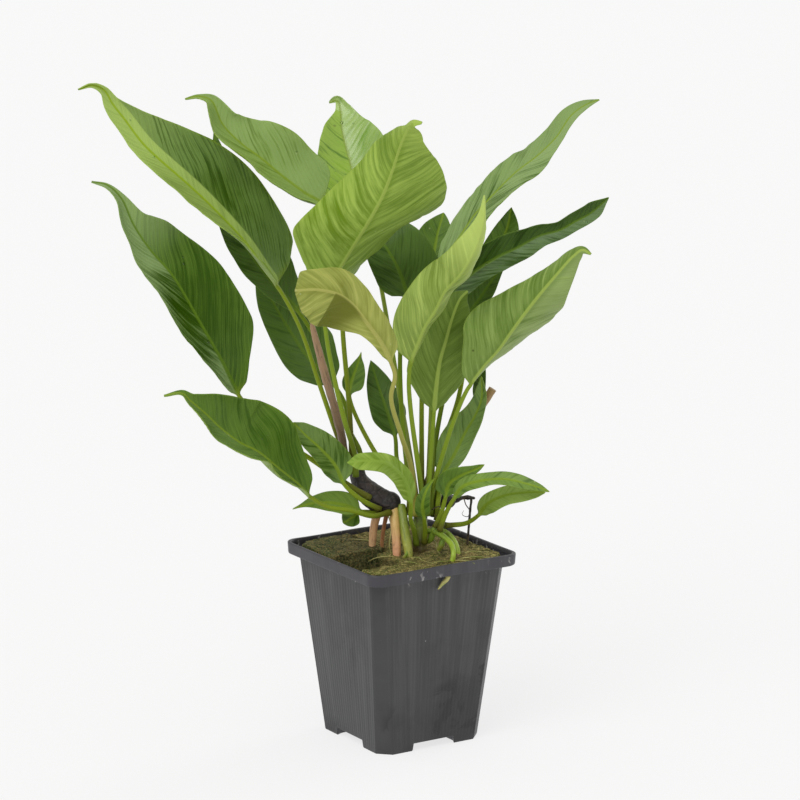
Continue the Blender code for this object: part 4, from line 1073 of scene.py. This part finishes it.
def wool_finish(name, base, algae, dark):
    """Fibrous wool with algae: matted threads, brown flecks, green and near-black patches."""
    f = Finish(name, 0.95, specular_ior_level=0.2)
    fibre = f.noise(430, 4, 0.75, distortion=1.5)
    fleck = f.noise(900, 2)
    patch = f.noise(75, 4, 0.6)
    second = f.noise(34, 3, 0.6)
    colour = f.mix(base, algae, patch.step(0.4, 0.62))
    colour = f.mix(colour, dark, second.step(0.5, 0.68) * 0.45)
    colour = f.mix(colour, shifted(base, 2.4), fibre.step(0.5, 0.62) * 0.75)
    colour = f.mix(colour, shifted(dark, 0.4), (1 - fibre.step(0.36, 0.46)) * 0.75)
    colour = f.mix(colour, paint(150, 124, 78), fleck.step(0.56, 0.64) * 0.7)
    normal = f.bump(fibre + fleck * 0.4, 0.0012, 1.0)
    return f.done(colour, normal)


def root_finish(name, foot, tip, streaks):
    """Root or stem skin: colour runs from foot to tip, with lengthwise streaks and rings."""
    f = Finish(name, 0.45, coat_weight=0.1, coat_roughness=0.25)
    along, angle, share = f.note("grain")
    patch = f.noise(110, 4, 0.6)
    streak = f.noise(1.0, 4, 0.6, f.vector(along * 0.12, angle.sine() * 2.5, share * 2))
    ring = ((along + patch * 2) * 2.4).sine()
    colour = f.mix(foot, tip, (share + patch * 0.3 - 0.15).step(0.1, 0.9))
    colour = f.mix(colour, streaks, streak.step(0.48, 0.7) * 0.6)
    colour = f.mix(colour, shifted(streaks, 0.6), f.noise(300, 3).step(0.62, 0.72) * 0.5)
    normal = f.bump(streak * 0.8 + ring * 0.08 + patch * 0.4, 0.0005, 0.7)
    return f.done(colour, normal)


def bark_finish(name, base, scar, light):
    """Old rhizome skin: dark bark with leaf scars in rings, darker cracks and torn orange flesh."""
    f = Finish(name, 0.55, coat_weight=0.15, coat_roughness=0.3)
    along, _, share = f.note("grain")
    patch = f.noise(95, 5, 0.65)
    crack = f.cells(240, feature="DISTANCE_TO_EDGE")
    ring = ((along + patch * 5) * 0.9).sine()
    torn = f.noise(70, 3, 0.6).step(0.54, 0.6) * share.step(0.2, 0.4)
    colour = f.mix(base, scar, patch.step(0.5, 0.66) * 0.8)
    colour = f.mix(colour, shifted(base, 0.4), 1 - crack.step(0.0, 0.12))
    colour = f.mix(colour, light, torn * 0.8)
    normal = f.bump(ring * 0.12 + patch + crack.step(0, 0.2) * 0.4, 0.0007, 0.9)
    return f.done(colour, normal)


def plain_finish(name, colour, roughness, second, scale):
    """A small part's finish: mottled between two tones with a slightly rough skin."""
    f = Finish(name, roughness)
    patch = f.noise(scale, 4, 0.6)
    return f.done(f.mix(colour, second, patch.step(0.42, 0.62)), f.bump(patch, 0.0003, 0.6))


# What each leaf looks like: its look, how far its veins lean, and what is changed in the
# look. A pair is for the left and the right half, and three numbers are a colour. The
# halves, the sheens and the sheen colours are painted light.
LEAF_LOOKS = {
    "upper_left": ("green", (1.7, 1.7), dict(
        halves=(1.0, 0.0), bands=(0.1, 0.7), sheen=(0.1, 0.6), split=5.0, tip=0.5, deep=(50, 78, 4),
        lime=(166, 190, 100), rib=(138, 164, 16), stalk_low=(80, 60, 38))),
    "left": ("green", (1.6, 1.6), dict(
        sheen=(1.0, 0.1), bands=(0.1, 0.3), deep=(46, 76, 2), tip=0.55, sheen_and_mottle=(136, 160, 104),
        lime=(156, 180, 116), base=(72, 104, 8), rib=(92, 122, 26))),
    "top_left": ("green", (1.7, 1.7), dict(
        sheen=(0.7, 1.0), halves=(0.5, 0.3), bands=(0, 0.1), sheen_and_mottle=(140, 166, 96), base=(118, 148, 50))),
    "low_left": ("green", (1.2, 1.2), dict(sheen=(0.6, 0.25), deep=(58, 92, 4))),
    "low_small": ("green", (1.2, 1.2), dict(sheen=(0.5, 0.6), base=(112, 140, 50))),
    "low_right": ("green", (1.2, 1.2), dict(sheen=(0.6, 0.6), base=(120, 148, 62))),
    "far_right": ("green", (1.2, 1.2), dict(sheen=(0.5, 0.5), base=(126, 156, 50))),
    "far_right_low": ("green", (1.2, 1.2), dict(
        sheen=(0.6, 0.6), base=(130, 158, 56), deep=(92, 124, 24), sheen_and_mottle=(150, 174, 92))),
    "low_left_under": ("green", (1.2, 1.2), dict(base=(122, 150, 50), deep=(88, 120, 20))),
    "centre": ("pale", (1.2, 0.35), dict(
        stripes=1.3, tip=0.7, under=(140, 168, 60), under_deep=(100, 130, 20))),
    "top": ("green", (0.8, 0.8), dict(
        halves=(0.75, 0.25), sheen=(0.25, 0.75), bands=(0.9, 0.4), deep=(88, 132, 6), lime=(158, 192, 30),
        sheen_and_mottle=(160, 186, 108), coat=0.35, shine=0.16, gloss=0.4)),
    "yellow": ("yellow", (1.2, 1.2), dict(
        fold=(0.34, 0.72), under=(176, 180, 88), under_deep=(112, 118, 36))),
    "pale_right": ("pale", (1.3, 1.3), dict(
        under=(146, 168, 76), under_deep=(112, 134, 50), under_light=(182, 202, 106), stripes=0.8,
        tip=0.5)),
    "mid_right": ("pale", (1.2, 1.2), dict(
        under=(106, 130, 42), under_deep=(78, 104, 22), under_light=(130, 154, 70), stripes=0.8)),
    "top_right": ("green", (2.0, 2.0), dict(
        sheen=(0.8, 1.0), bands=(0.1, 0.1), base=(100, 132, 52), sheen_and_mottle=(136, 160, 100))),
    "right_dark": ("dark", (1.4, 1.4), dict(sheen=(0.15, 0.6), sheen_and_mottle=(128, 152, 110))),
    "right_low": ("pale", (1.0, 1.0), dict(
        under=(112, 138, 58), under_deep=(84, 112, 34), under_light=(144, 166, 92),
        under_sheen=(0.9, 0.2))),
    "low_arch": ("pale", (1.0, 1.0), dict(
        base=(122, 150, 50), deep=(92, 124, 26), rib=(120, 148, 50), under_rib=(130, 158, 60))),
}

# What all leaves share: lines, stripes and streaks are strengths of patterns, bands,
# halves, sheen and under_sheen are shares for the two halves, halves being painted light that
# turns a half lime and sheen and under_sheen painted sheen in the grey-green sheen colours,
# fold is where painted shade darkens the folded part of the lower face, split is where the
# halves meet and tip is where the tip turns lighter
COMMON = dict(lines=1.0, stripes=1.0, streaks=1.1, bands=(0.4, 0.4), halves=(0.0, 0.0), sheen=(0.3, 0.3),
              under_sheen=(0.2, 0.2), fold=(3.0, 4.0), split=0.0, tip=2.0, coat=0.03, shine=0.26, gloss=0.1,
              sheen_and_mottle=(118, 144, 84), under_painted_sheen=(142, 162, 98))

LOOKS = {
    "green": dict(
        base=(90, 124, 18), deep=(52, 82, 3), vein=(126, 154, 62), lime=(148, 176, 66), rib=(126, 150, 40),
        under=(124, 150, 54), under_deep=(90, 118, 24), under_light=(152, 176, 86),
        under_rib=(160, 178, 88), stalk=(122, 140, 34), stalk_low=(96, 98, 32)),
    "dark": dict(
        base=(62, 92, 6), deep=(40, 66, 2), vein=(90, 120, 34), lime=(104, 134, 30), rib=(92, 120, 32),
        under=(100, 128, 42), under_deep=(72, 98, 20), under_light=(132, 156, 70), under_rib=(146, 166, 80),
        stalk=(104, 126, 28), stalk_low=(84, 90, 26)),
    "pale": dict(
        base=(104, 136, 32), deep=(68, 98, 10), vein=(136, 164, 70), lime=(148, 174, 52),
        rib=(140, 162, 60), under=(134, 162, 56), under_deep=(100, 130, 20), under_light=(160, 184, 84),
        under_rib=(156, 176, 82), stalk=(126, 148, 42), stalk_low=(102, 118, 34)),
    "yellow": dict(
        base=(140, 144, 56), deep=(108, 114, 34), vein=(172, 172, 92), lime=(156, 164, 64),
        rib=(176, 174, 92), under=(154, 158, 74), under_deep=(108, 114, 38), under_light=(178, 180, 100),
        under_rib=(172, 172, 94), lines=0.6, stripes=0.5, stalk=(160, 158, 80), stalk_low=(136, 134, 56)),
}


def tones_of(look, change):
    """A leaf's tones: what all share, then its look, then its own changes."""
    tones = {**COMMON, **LOOKS[look], **change}
    return {label: paint(*tone) if np.size(tone) == 3 else tone for label, tone in tones.items()}


# Routes of (point, radius), from foot to tip
RHIZOME = [((0, 0, 125), 4.8), ((-9, 0, 125), 6.5), ((-17, 0, 130), 6.3), ((-22, 0, 138), 4.6),
           ((-23, 0, 147), 3.6)]
PINK_ROOT = [((-11, 0, 122), 2.3), ((-14, 1, 112), 2.1), ((-15, 2, 100), 1.9), ((-15, 3, 89), 1.6)]
THIN_ROOT = [((-7, 0, 121), 1.3), ((-9, 3, 110), 1.1), ((-10, 5, 100), 1.0), ((-10, 5, 91), 0.9)]
CREAM_ROOT = [((-4, -1, 124), 2.4), ((-3, -8, 114), 2.4), ((-2, -12, 100), 2.2), ((-2, -13, 88), 1.8)]
GREEN_ROOT = [((0, -1, 124), 2.4), ((2, -9, 112), 2.5), ((4, -14, 100), 2.3), ((4, -15, 88), 1.8)]
RIGHT_STEM = [((9, -3, 88), 3.4), ((10, -2, 104), 3.8), ((10, -1, 118), 3.9), ((10, -1, 127), 3.4)]
BRIGHT_ROOT = [((10, -2, 109), 1.8), ((16, -7, 111), 1.6), ((21, -12, 110), 1.6),
               ((26, -18, 107), 1.5), ((27, -23, 103), 1.4), ((26, -24, 97), 1.3),
               ((26, -24, 90), 1.2)]
SECOND_ROOT = [((10, 0, 107), 1.7), ((17, 0, 110), 1.6), ((23, -1, 109), 1.5),
               ((28, -6, 105), 1.4), ((30, -10, 98), 1.3), ((30, -10, 91), 1.1)]
DEAD = [((20, 12, 120), 3.0), ((24, 13, 123), 4.0), ((28, 13, 120), 3.4)]
DEAD_STICK = [((25, 13, 121), 1.4), ((33, 13, 124), 1.1), ((39, 12, 124), 0.9)]
DEAD_WIRE = [((37, 12, 124), 0.7), ((36, 12, 113), 0.6), ((35, 12, 100), 0.6), ((34, 12, 92), 0.6)]
SHEATH = [((-27.5, -5.2, 140), 1.3), ((-29, -6, 152), 2.0), ((-33, -7, 172), 2.2),
          ((-38, -8, 190), 2.2), ((-43, -8, 210), 2.0), ((-46, -8, 222), 1.2)]
CUT_STUB = [((18.8, 0.8, 116), 1.2), ((19.6, 1.4, 126), 1.2), ((25, 12, 141), 1.4),
            ((34, 19, 158), 1.5), ((43, 19.5, 173), 1.8), ((48, 19.5, 181), 2.2)]

# Their pieces: name, route, sides, spacing of the rings, lumps as (size, height, seed) or
# None for a scarred bark, lengths of the rounded ends, skin, slot and the node it replaces
STEMS = [
    ("left_rhizome", RHIZOME, 48, 0.5, None, (4, 3), "rhizome_bark", "rhizome", "rhizome_left"),
    ("stilt_root_pink", PINK_ROOT, 24, 0.6, (5, 0.09, 7), (1, 1), "root_pink", "stem"),
    ("stilt_root_thin", THIN_ROOT, 24, 0.6, (5, 0.09, 7), (1, 1), "root_thin", "stem"),
    ("stilt_root_cream", CREAM_ROOT, 24, 0.6, (5, 0.09, 7), (1, 1), "root_cream", "stem"),
    ("stilt_root_green", GREEN_ROOT, 24, 0.6, (5, 0.09, 7), (1, 1), "root_green", "stem"),
    ("right_stem", RIGHT_STEM, 32, 0.5, (5, 0.08, 9), (1, 1), "stem_skin", "stem", "stem_right"),
    ("anchor_root_bright", BRIGHT_ROOT, 20, 0.6, (6, 0.08, 3), (1, 1), "root_bright", "stem"),
    ("anchor_root_second", SECOND_ROOT, 20, 0.6, (6, 0.08, 3), (1, 1), "root_bright", "stem"),
    ("dead_stump", DEAD, 32, 0.45, None, (2, 2), "dead_bark", "dead", "dead_rhizome"),
    ("dead_stick", DEAD_STICK, 16, 0.45, (2.5, 0.25, 5), (1, 1), "dead_bark", "dead"),
    ("dead_wire", DEAD_WIRE, 10, 0.45, (2, 0.2, 6), (0.6, 0.6), "dead_bark", "dead"),
    ("old_sheath", SHEATH, 24, 0.8, (6, 0.12, 8), (2, 4), "sheath_skin", "sheath", "sheath"),
    ("cut_stalk", CUT_STUB, 20, 0.8, (5, 0.08, 4), (1, 0), "stub_skin", "stem", "cut_stub"),
]
# Skins: colour of the foot, the tip and the streaks, or of the bark, its scars and torn flesh
SKINS = {
    "rhizome_bark": ((40, 31, 30), (64, 48, 40), (120, 98, 74)),
    "dead_bark": ((34, 28, 24), (60, 46, 34), (90, 76, 56)),
    "root_pink": ((214, 166, 118), (236, 192, 146), (150, 92, 60)),
    "root_thin": ((176, 120, 80), (206, 152, 108), (140, 88, 56)),
    "root_cream": ((200, 170, 96), (226, 160, 128), (176, 130, 76)),
    "root_green": ((120, 136, 40), (176, 176, 76), (84, 100, 30)),
    "stem_skin": ((96, 76, 44), (104, 128, 36), (66, 50, 34)),
    "root_bright": ((104, 128, 34), (164, 190, 50), (84, 110, 28)),
    "sheath_skin": ((98, 76, 52), (156, 124, 92), (72, 54, 36)),
    "stub_skin": ((110, 134, 40), (150, 120, 70), (120, 90, 50)),
}

# Small growth: threads as (points, radius), the root down the wall outside under the lip,
# and buds as (point, radius) stations
ROOTLETS = [
    ([(2, -27, 99.8), (4, -30, 100.6), (7, -31, 100.5), (9, -33, 100.2)], 0.35),
    ([(30, -20, 99.6), (34, -22, 100.8), (40, -20, 100.7), (47, -21, 100.3)], 0.4),
    ([(27, -23, 99.5), (31, -27, 100.7), (35, -28, 100.6), (38, -31, 100)], 0.35),
    ([(28, -22, 98.5), (24, -27, 100.3), (19, -29, 100.5), (15, -33, 100)], 0.3),
    ([(-3, -14, 99), (-8, -19, 100.6), (-13, -22, 100.6), (-17, -27, 100.1)], 0.35),
    ([(4, -16, 99), (9, -21, 100.5), (11, -27, 100.7), (16, -31, 100.2)], 0.3),
    ([(31, -10, 99), (37, -8, 100.6), (42, -10, 100.6), (46, -7, 100.1)], 0.3),
    ([(-10, 5, 99), (-16, 9, 101.5), (-22, 12, 101.6), (-28, 16, 101)], 0.3),
    ([(14, -2, 108), (18, -4, 104), (19, -8, 101), (21, -12, 99)], 0.35),
    ([(-8, -1, 122), (-5, -6, 113), (-6, -10, 105), (-5, -11, 98)], 0.4),
]
LIP_ROOT = [(24.3, -35.6, 94.8), (23.5, -35.9, 93), (21.4, -36.6, 91), (19, -37.3, 88)]
TENDRILS = [
    ([(33, 12, 124), (34, 10, 121), (36, 9, 118), (35, 8, 115), (32, 9, 116), (33, 10, 118)], 0.3),
    ([(16, -5, 122), (20, -6, 124), (22, -7, 121), (19, -7, 118), (17, -6, 120)], 0.3),
]
BUDS = [
    [((14, -5, 104), 0.8), ((16, -7, 108), 1.7), ((17, -8, 112), 1.3), ((18, -8, 116), 0.3)],
    [((19, -7, 100), 0.8), ((21, -8, 104), 1.6), ((22, -8, 108), 1.2), ((23, -8, 111), 0.3)],
    [((2, -17, 98), 0.6), ((2, -18, 100), 1.1), ((3, -19, 102), 0.8), ((3, -19, 104), 0.3)],
]
FIBRES = 1500  # loose fibres on the wool, before those outside its cut corners go
FIBRE_FOOT = 99.2  # height of their feet, just inside the wool
# Leaves with drops of water: name, number of drops, and 1 for the upper or -1 for the lower face
WET = [("top_left", 3, 1), ("top", 9, 1), ("upper_left", 3, 1), ("left", 3, 1), ("low_left", 6, 1),
       ("right_dark", 3, 1)]


# Settings

class PotSettings(PropertyGroup):
    """Sizes and colours of the pot and the wool in it."""

    height: FloatProperty(name="Height", description="Foot to rim", default=0.101, unit="LENGTH")
    rim_side: FloatProperty(name="Rim", description="Side of the rim", default=0.090, unit="LENGTH")
    wall_side: FloatProperty(name="Wall", description="Side under the lip", default=0.082, unit="LENGTH")
    base_side: FloatProperty(name="Foot", description="Side of the foot", default=0.063, unit="LENGTH")
    lip: FloatProperty(name="Lip", description="Height of the lip", default=0.0066, unit="LENGTH")
    wall: FloatProperty(name="Thickness", description="Wall thickness", default=0.0015, unit="LENGTH")
    plastic: FloatVectorProperty(name="Plastic", description="Colour of the plastic", size=3,
                                 subtype="COLOR", default=(0.037, 0.037, 0.038), min=0, max=1)
    wool_bumps: FloatProperty(name="Wool bumps", description="Depth of the wool's bumps",
                              default=0.0012, unit="LENGTH")
    wool: FloatVectorProperty(name="Wool", description="Colour of the wool", size=3,
                              subtype="COLOR", default=(0.24, 0.20, 0.07), min=0, max=1)
    algae: FloatVectorProperty(name="Algae", description="Colour of the algae on the wool", size=3,
                               subtype="COLOR", default=(0.11, 0.125, 0.03), min=0, max=1)


class LeafSettings(PropertyGroup):
    """Sizes of the leaves' skin."""

    thickness: FloatProperty(name="Thickness", description="Thickness of a blade",
                             default=0.0006, unit="LENGTH")
    relief: FloatProperty(name="Relief", description="Height of the swelling between veins",
                          default=0.00014, unit="LENGTH")


class StageSettings(PropertyGroup):
    """Camera, light and floor."""

    distance: FloatProperty(name="Distance", description="Camera to plant", default=1.76, unit="LENGTH")
    lens: FloatProperty(name="Lens", description="Focal length on a 36 mm sensor", default=153.0)
    floor: FloatProperty(name="Floor", description="Brightness of the floor", default=0.94, min=0, max=1)
    sky: FloatProperty(name="Sky", description="Strength of the light from all sides", default=0.72)
    key: FloatProperty(name="Key", description="Strength of the main light", default=1.35)
    rim: FloatProperty(name="Rim", description="Strength of the light from behind", default=0.6)


# Makers

class ANUBIAS_OT_pot(Operator):
    """Makes the ribbed square nursery pot"""

    bl_idname = "anubias.pot"
    bl_label = "Pot"

    def execute(self, context):
        sizes = context.scene.anubias_pot
        points, faces, notes = pot_form(sizes)
        piece("nursery_pot", points, faces, pot_finish(sizes.plastic), ["pot"], notes)
        return {"FINISHED"}


class ANUBIAS_OT_wool(Operator):
    """Makes the two blocks of mineral wool"""

    bl_idname = "anubias.wool"
    bl_label = "Mineral wool"

    def execute(self, context):
        sizes = context.scene.anubias_pot
        wool, algae = (*sizes.wool, 1.0), (*sizes.algae, 1.0)
        dark = paint(38, 40, 22)
        points, faces = wool_form(WOOL_LEFT, (-24, 22), WOOL_TOPS[0], sizes, 11)
        # Painted shade: the left block is the same wool painted darker and cooler.
        shaded_wool = wool_finish("wool_left_shaded", shifted(wool, 0.5, -0.12), shifted(algae, 0.65, -0.15), dark)
        piece("wool_block_left", points, faces, shaded_wool, ["wool_left"])
        points, faces = wool_form(WOOL_FRONT, (12, -32), WOOL_TOPS[1], sizes, 23)
        brown = wool_finish("wool_brown", wool, algae, dark)
        piece("wool_block_front", points, faces, brown, ["wool_front"])
        return {"FINISHED"}


def lumps(size, height, seed):
    """A relief of random lumps of this size, as a share of the radius."""
    return lambda along, angle, points: height * rough(points, size, seed, 3)


def scarred(along, angle, points):
    """A lumpy relief with a shallow groove at every leaf scar."""
    along = along[:, None]
    rings = np.abs(np.sin(along * 0.55 + 0.9 * np.cos(angle)[None, :] + 0.4 * np.sin(along)))
    return 0.1 * rough(points, 9, 31, 2) - 0.02 * np.exp(-(rings / 0.3) ** 2)


class ANUBIAS_OT_stems(Operator):
    """Makes both rhizomes with their roots, the dead one, the sheath and the cut stub"""

    bl_idname = "anubias.stems"
    bl_label = "Stems and roots"

    def execute(self, context):
        finishes = {}
        for skin, colours in SKINS.items():
            finish = bark_finish if skin.endswith("bark") else root_finish
            finishes[skin] = finish(skin, *(paint(*colour) for colour in colours))
        for name, stations, sides, spacing, bumps, tips, skin, slot, *nodes in STEMS:
            relief = lumps(*bumps) if bumps else scarred
            points, faces, notes = stem_form(stations, sides, spacing, relief, tips)
            piece(name, points, faces, finishes[skin], nodes, notes)
        return {"FINISHED"}


class ANUBIAS_OT_growth(Operator):
    """Makes the wool's loose fibres, the rootlets, the young buds and the drops of water"""

    bl_idname = "anubias.growth"
    bl_label = "Fibres, rootlets, buds and drops"

    def execute(self, context):
        draw = np.random.default_rng(41)
        inside = draw.uniform(-EDGE + 2, EDGE - 2, (FIBRES, 2))
        inside = inside[np.abs(inside).sum(axis=1) < 2 * EDGE - CUT - 3]
        feet = np.column_stack([inside, np.full(len(inside), FIBRE_FOOT)])
        ways = np.column_stack([draw.normal(0, 1, (len(inside), 2)), np.full(len(inside), 0.35)])
        made = bristles(feet, ways, draw.uniform(1.2, 4.5, len(inside)), 0.09, 5)
        fuzz = plain_finish("wool_fibre", paint(110, 100, 58), 0.9, paint(70, 74, 34), 60)
        piece("wool_fibres", on_pot(made[0]), made[1], fuzz)

        tubes = [thread(points, radius) for points, radius in ROOTLETS]
        tubes.append(thread(LIP_ROOT, 1.3, 10))
        points, faces = joined(tubes)
        pale = plain_finish("rootlet_skin", paint(176, 168, 104), 0.5, paint(130, 140, 58), 150)
        piece("rootlets", placed(points), faces, pale)
        dark = plain_finish("tendril_skin", paint(54, 44, 34), 0.6, paint(92, 70, 44), 300)
        points, faces = joined([thread(points, radius, 7) for points, radius in TENDRILS])
        piece("tendrils", placed(points), faces, dark)

        points, faces = joined([stem_form(stations, 20, 0.4, lumps(3, 0.06, 12), (1.2, 2.5))[:2]
                                for stations in BUDS])
        young = plain_finish("bud_skin", paint(120, 150, 44), 0.4, paint(150, 140, 70), 120)
        piece("buds", points, faces, young)

        places, ways, sizes = [], [], []
        for name, number, face in WET:
            t, s = draw.uniform(0.2, 0.85, number), draw.uniform(-0.75, 0.75, number)
            place, way = on_leaf(LEAVES[name], t, s)
            places.append(place + way * 0.3 * face)
            ways.append(way * face)
            sizes.append(draw.uniform(0.35, 1.0, number) ** 1.5 * 0.9)
        points, faces = drops(np.vstack(places), np.vstack(ways), np.concatenate(sizes))
        water = Finish("water", 0.03, transmission_weight=1.0, ior=1.33)
        water.shader.inputs["Base Color"].default_value = (0.95, 1.0, 0.93, 1)
        piece("water_drops", placed(points), faces, water.material)
        return {"FINISHED"}


class ANUBIAS_OT_leaves(Operator):
    """Makes every leaf with its stalk"""

    bl_idname = "anubias.leaves"
    bl_label = "Leaves"

    def execute(self, context):
        sizes = context.scene.anubias_leaf
        for number, (name, leaf) in enumerate(LEAVES.items()):
            ordinary = (leaf["colour"].removeprefix("leaf_"), (1.1, 1.1), {})
            look, slant, change = LEAF_LOOKS.get(name, ordinary)
            finish = leaf_finish("skin_" + name, tones_of(look, change))
            points, faces, notes = leaf_form(leaf, sizes, number, slant)
            piece("foliage_" + name, points, faces, finish, ["leaf_" + name], notes)
        return {"FINISHED"}


def aimed(name, data, towards):
    """A light or camera that looks along a direction on the viewer's axes."""
    made = bpy.data.objects.new(name, data)
    bpy.context.scene.collection.objects.link(made)
    made.rotation_mode = "QUATERNION"
    aim = placed(towards) - placed((0, 0, 0))
    made.rotation_quaternion = Vector(aim).to_track_quat("-Z", "Y")
    return made


def sun(name, strength, towards, spread):
    """A distant light that shines along a direction and is spread by degrees."""
    lamp = bpy.data.lights.new(name, "SUN")
    lamp.energy = strength
    lamp.angle = math.radians(spread)
    aimed(name, lamp, towards)


class ANUBIAS_OT_stage(Operator):
    """Makes the pale floor, the soft light and the camera at the picture's angle"""

    bl_idname = "anubias.stage"
    bl_label = "Stage"

    def execute(self, context):
        scene = context.scene
        stage = scene.anubias_stage
        corners = [(-1, -1), (1, -1), (1, 1), (-1, 1)]
        floor = bpy.data.meshes.new("floor")
        floor.from_pydata([(FLOOR_REACH * x, FLOOR_REACH * y, 0) for x, y in corners], [], [(0, 1, 2, 3)])
        f = Finish("floor_paper", 0.9)
        constants = {"Emission Strength": stage.floor - FLOOR_LIT, "Emission Color": (1, 1, 1, 1),
                     "Base Color": (0.18, 0.18, 0.18, 1), "Specular IOR Level": 0.0}
        for label, value in constants.items():
            f.shader.inputs[label].default_value = value
        floor.materials.append(f.material)
        ground = bpy.data.objects.new("floor", floor)
        scene.collection.objects.link(ground)

        world = bpy.data.worlds.new("studio")
        world.use_nodes = True
        background = world.node_tree.nodes["Background"]
        background.inputs["Color"].default_value = (1.0, 1.0, 0.98, 1)
        background.inputs["Strength"].default_value = stage.sky
        scene.world = world
        sun("key", stage.key, (0.5, 0.75, -1.0), 40)
        sun("rim", stage.rim, (-0.9, -0.9, -0.6), 25)

        camera = bpy.data.cameras.new("camera")
        camera.lens = stage.lens
        camera.sensor_width = 36
        camera.clip_end = 50
        ahead = np.array([0, math.cos(VIEW_DROP), -math.sin(VIEW_DROP)])
        eye = aimed("camera", camera, ahead)
        eye.location = placed(VIEW_TARGET - ahead * stage.distance / MM)
        scene.camera = eye
        scene.view_settings.view_transform = "Standard"
        return {"FINISHED"}


class ANUBIAS_PT_panel(Panel):
    """Lists the makers and their settings"""

    bl_label = "Potted anubias"
    bl_idname = "ANUBIAS_PT_panel"
    bl_space_type = "VIEW_3D"
    bl_region_type = "UI"
    bl_category = "Anubias"

    def draw(self, context):
        layout = self.layout
        for maker in MAKERS:
            layout.operator(maker.bl_idname)
        for group in (context.scene.anubias_pot, context.scene.anubias_leaf, context.scene.anubias_stage):
            column = layout.box().column()
            for label in group.__annotations__:
                column.prop(group, label)


MAKERS = (ANUBIAS_OT_pot, ANUBIAS_OT_wool, ANUBIAS_OT_stems, ANUBIAS_OT_growth, ANUBIAS_OT_leaves,
          ANUBIAS_OT_stage)
CLASSES = (PotSettings, LeafSettings, StageSettings, *MAKERS, ANUBIAS_PT_panel)


def register():
    for cls in CLASSES:
        bpy.utils.register_class(cls)
    bpy.types.Scene.anubias_pot = PointerProperty(type=PotSettings)
    bpy.types.Scene.anubias_leaf = PointerProperty(type=LeafSettings)
    bpy.types.Scene.anubias_stage = PointerProperty(type=StageSettings)


def unregister():
    del bpy.types.Scene.anubias_stage
    del bpy.types.Scene.anubias_leaf
    del bpy.types.Scene.anubias_pot
    for cls in reversed(CLASSES):
        bpy.utils.unregister_class(cls)


def main():
    register()
    bpy.ops.anubias.pot()
    bpy.ops.anubias.wool()
    bpy.ops.anubias.stems()
    bpy.ops.anubias.growth()
    bpy.ops.anubias.leaves()
    bpy.ops.anubias.stage()


if __name__ == "__main__":
    main()
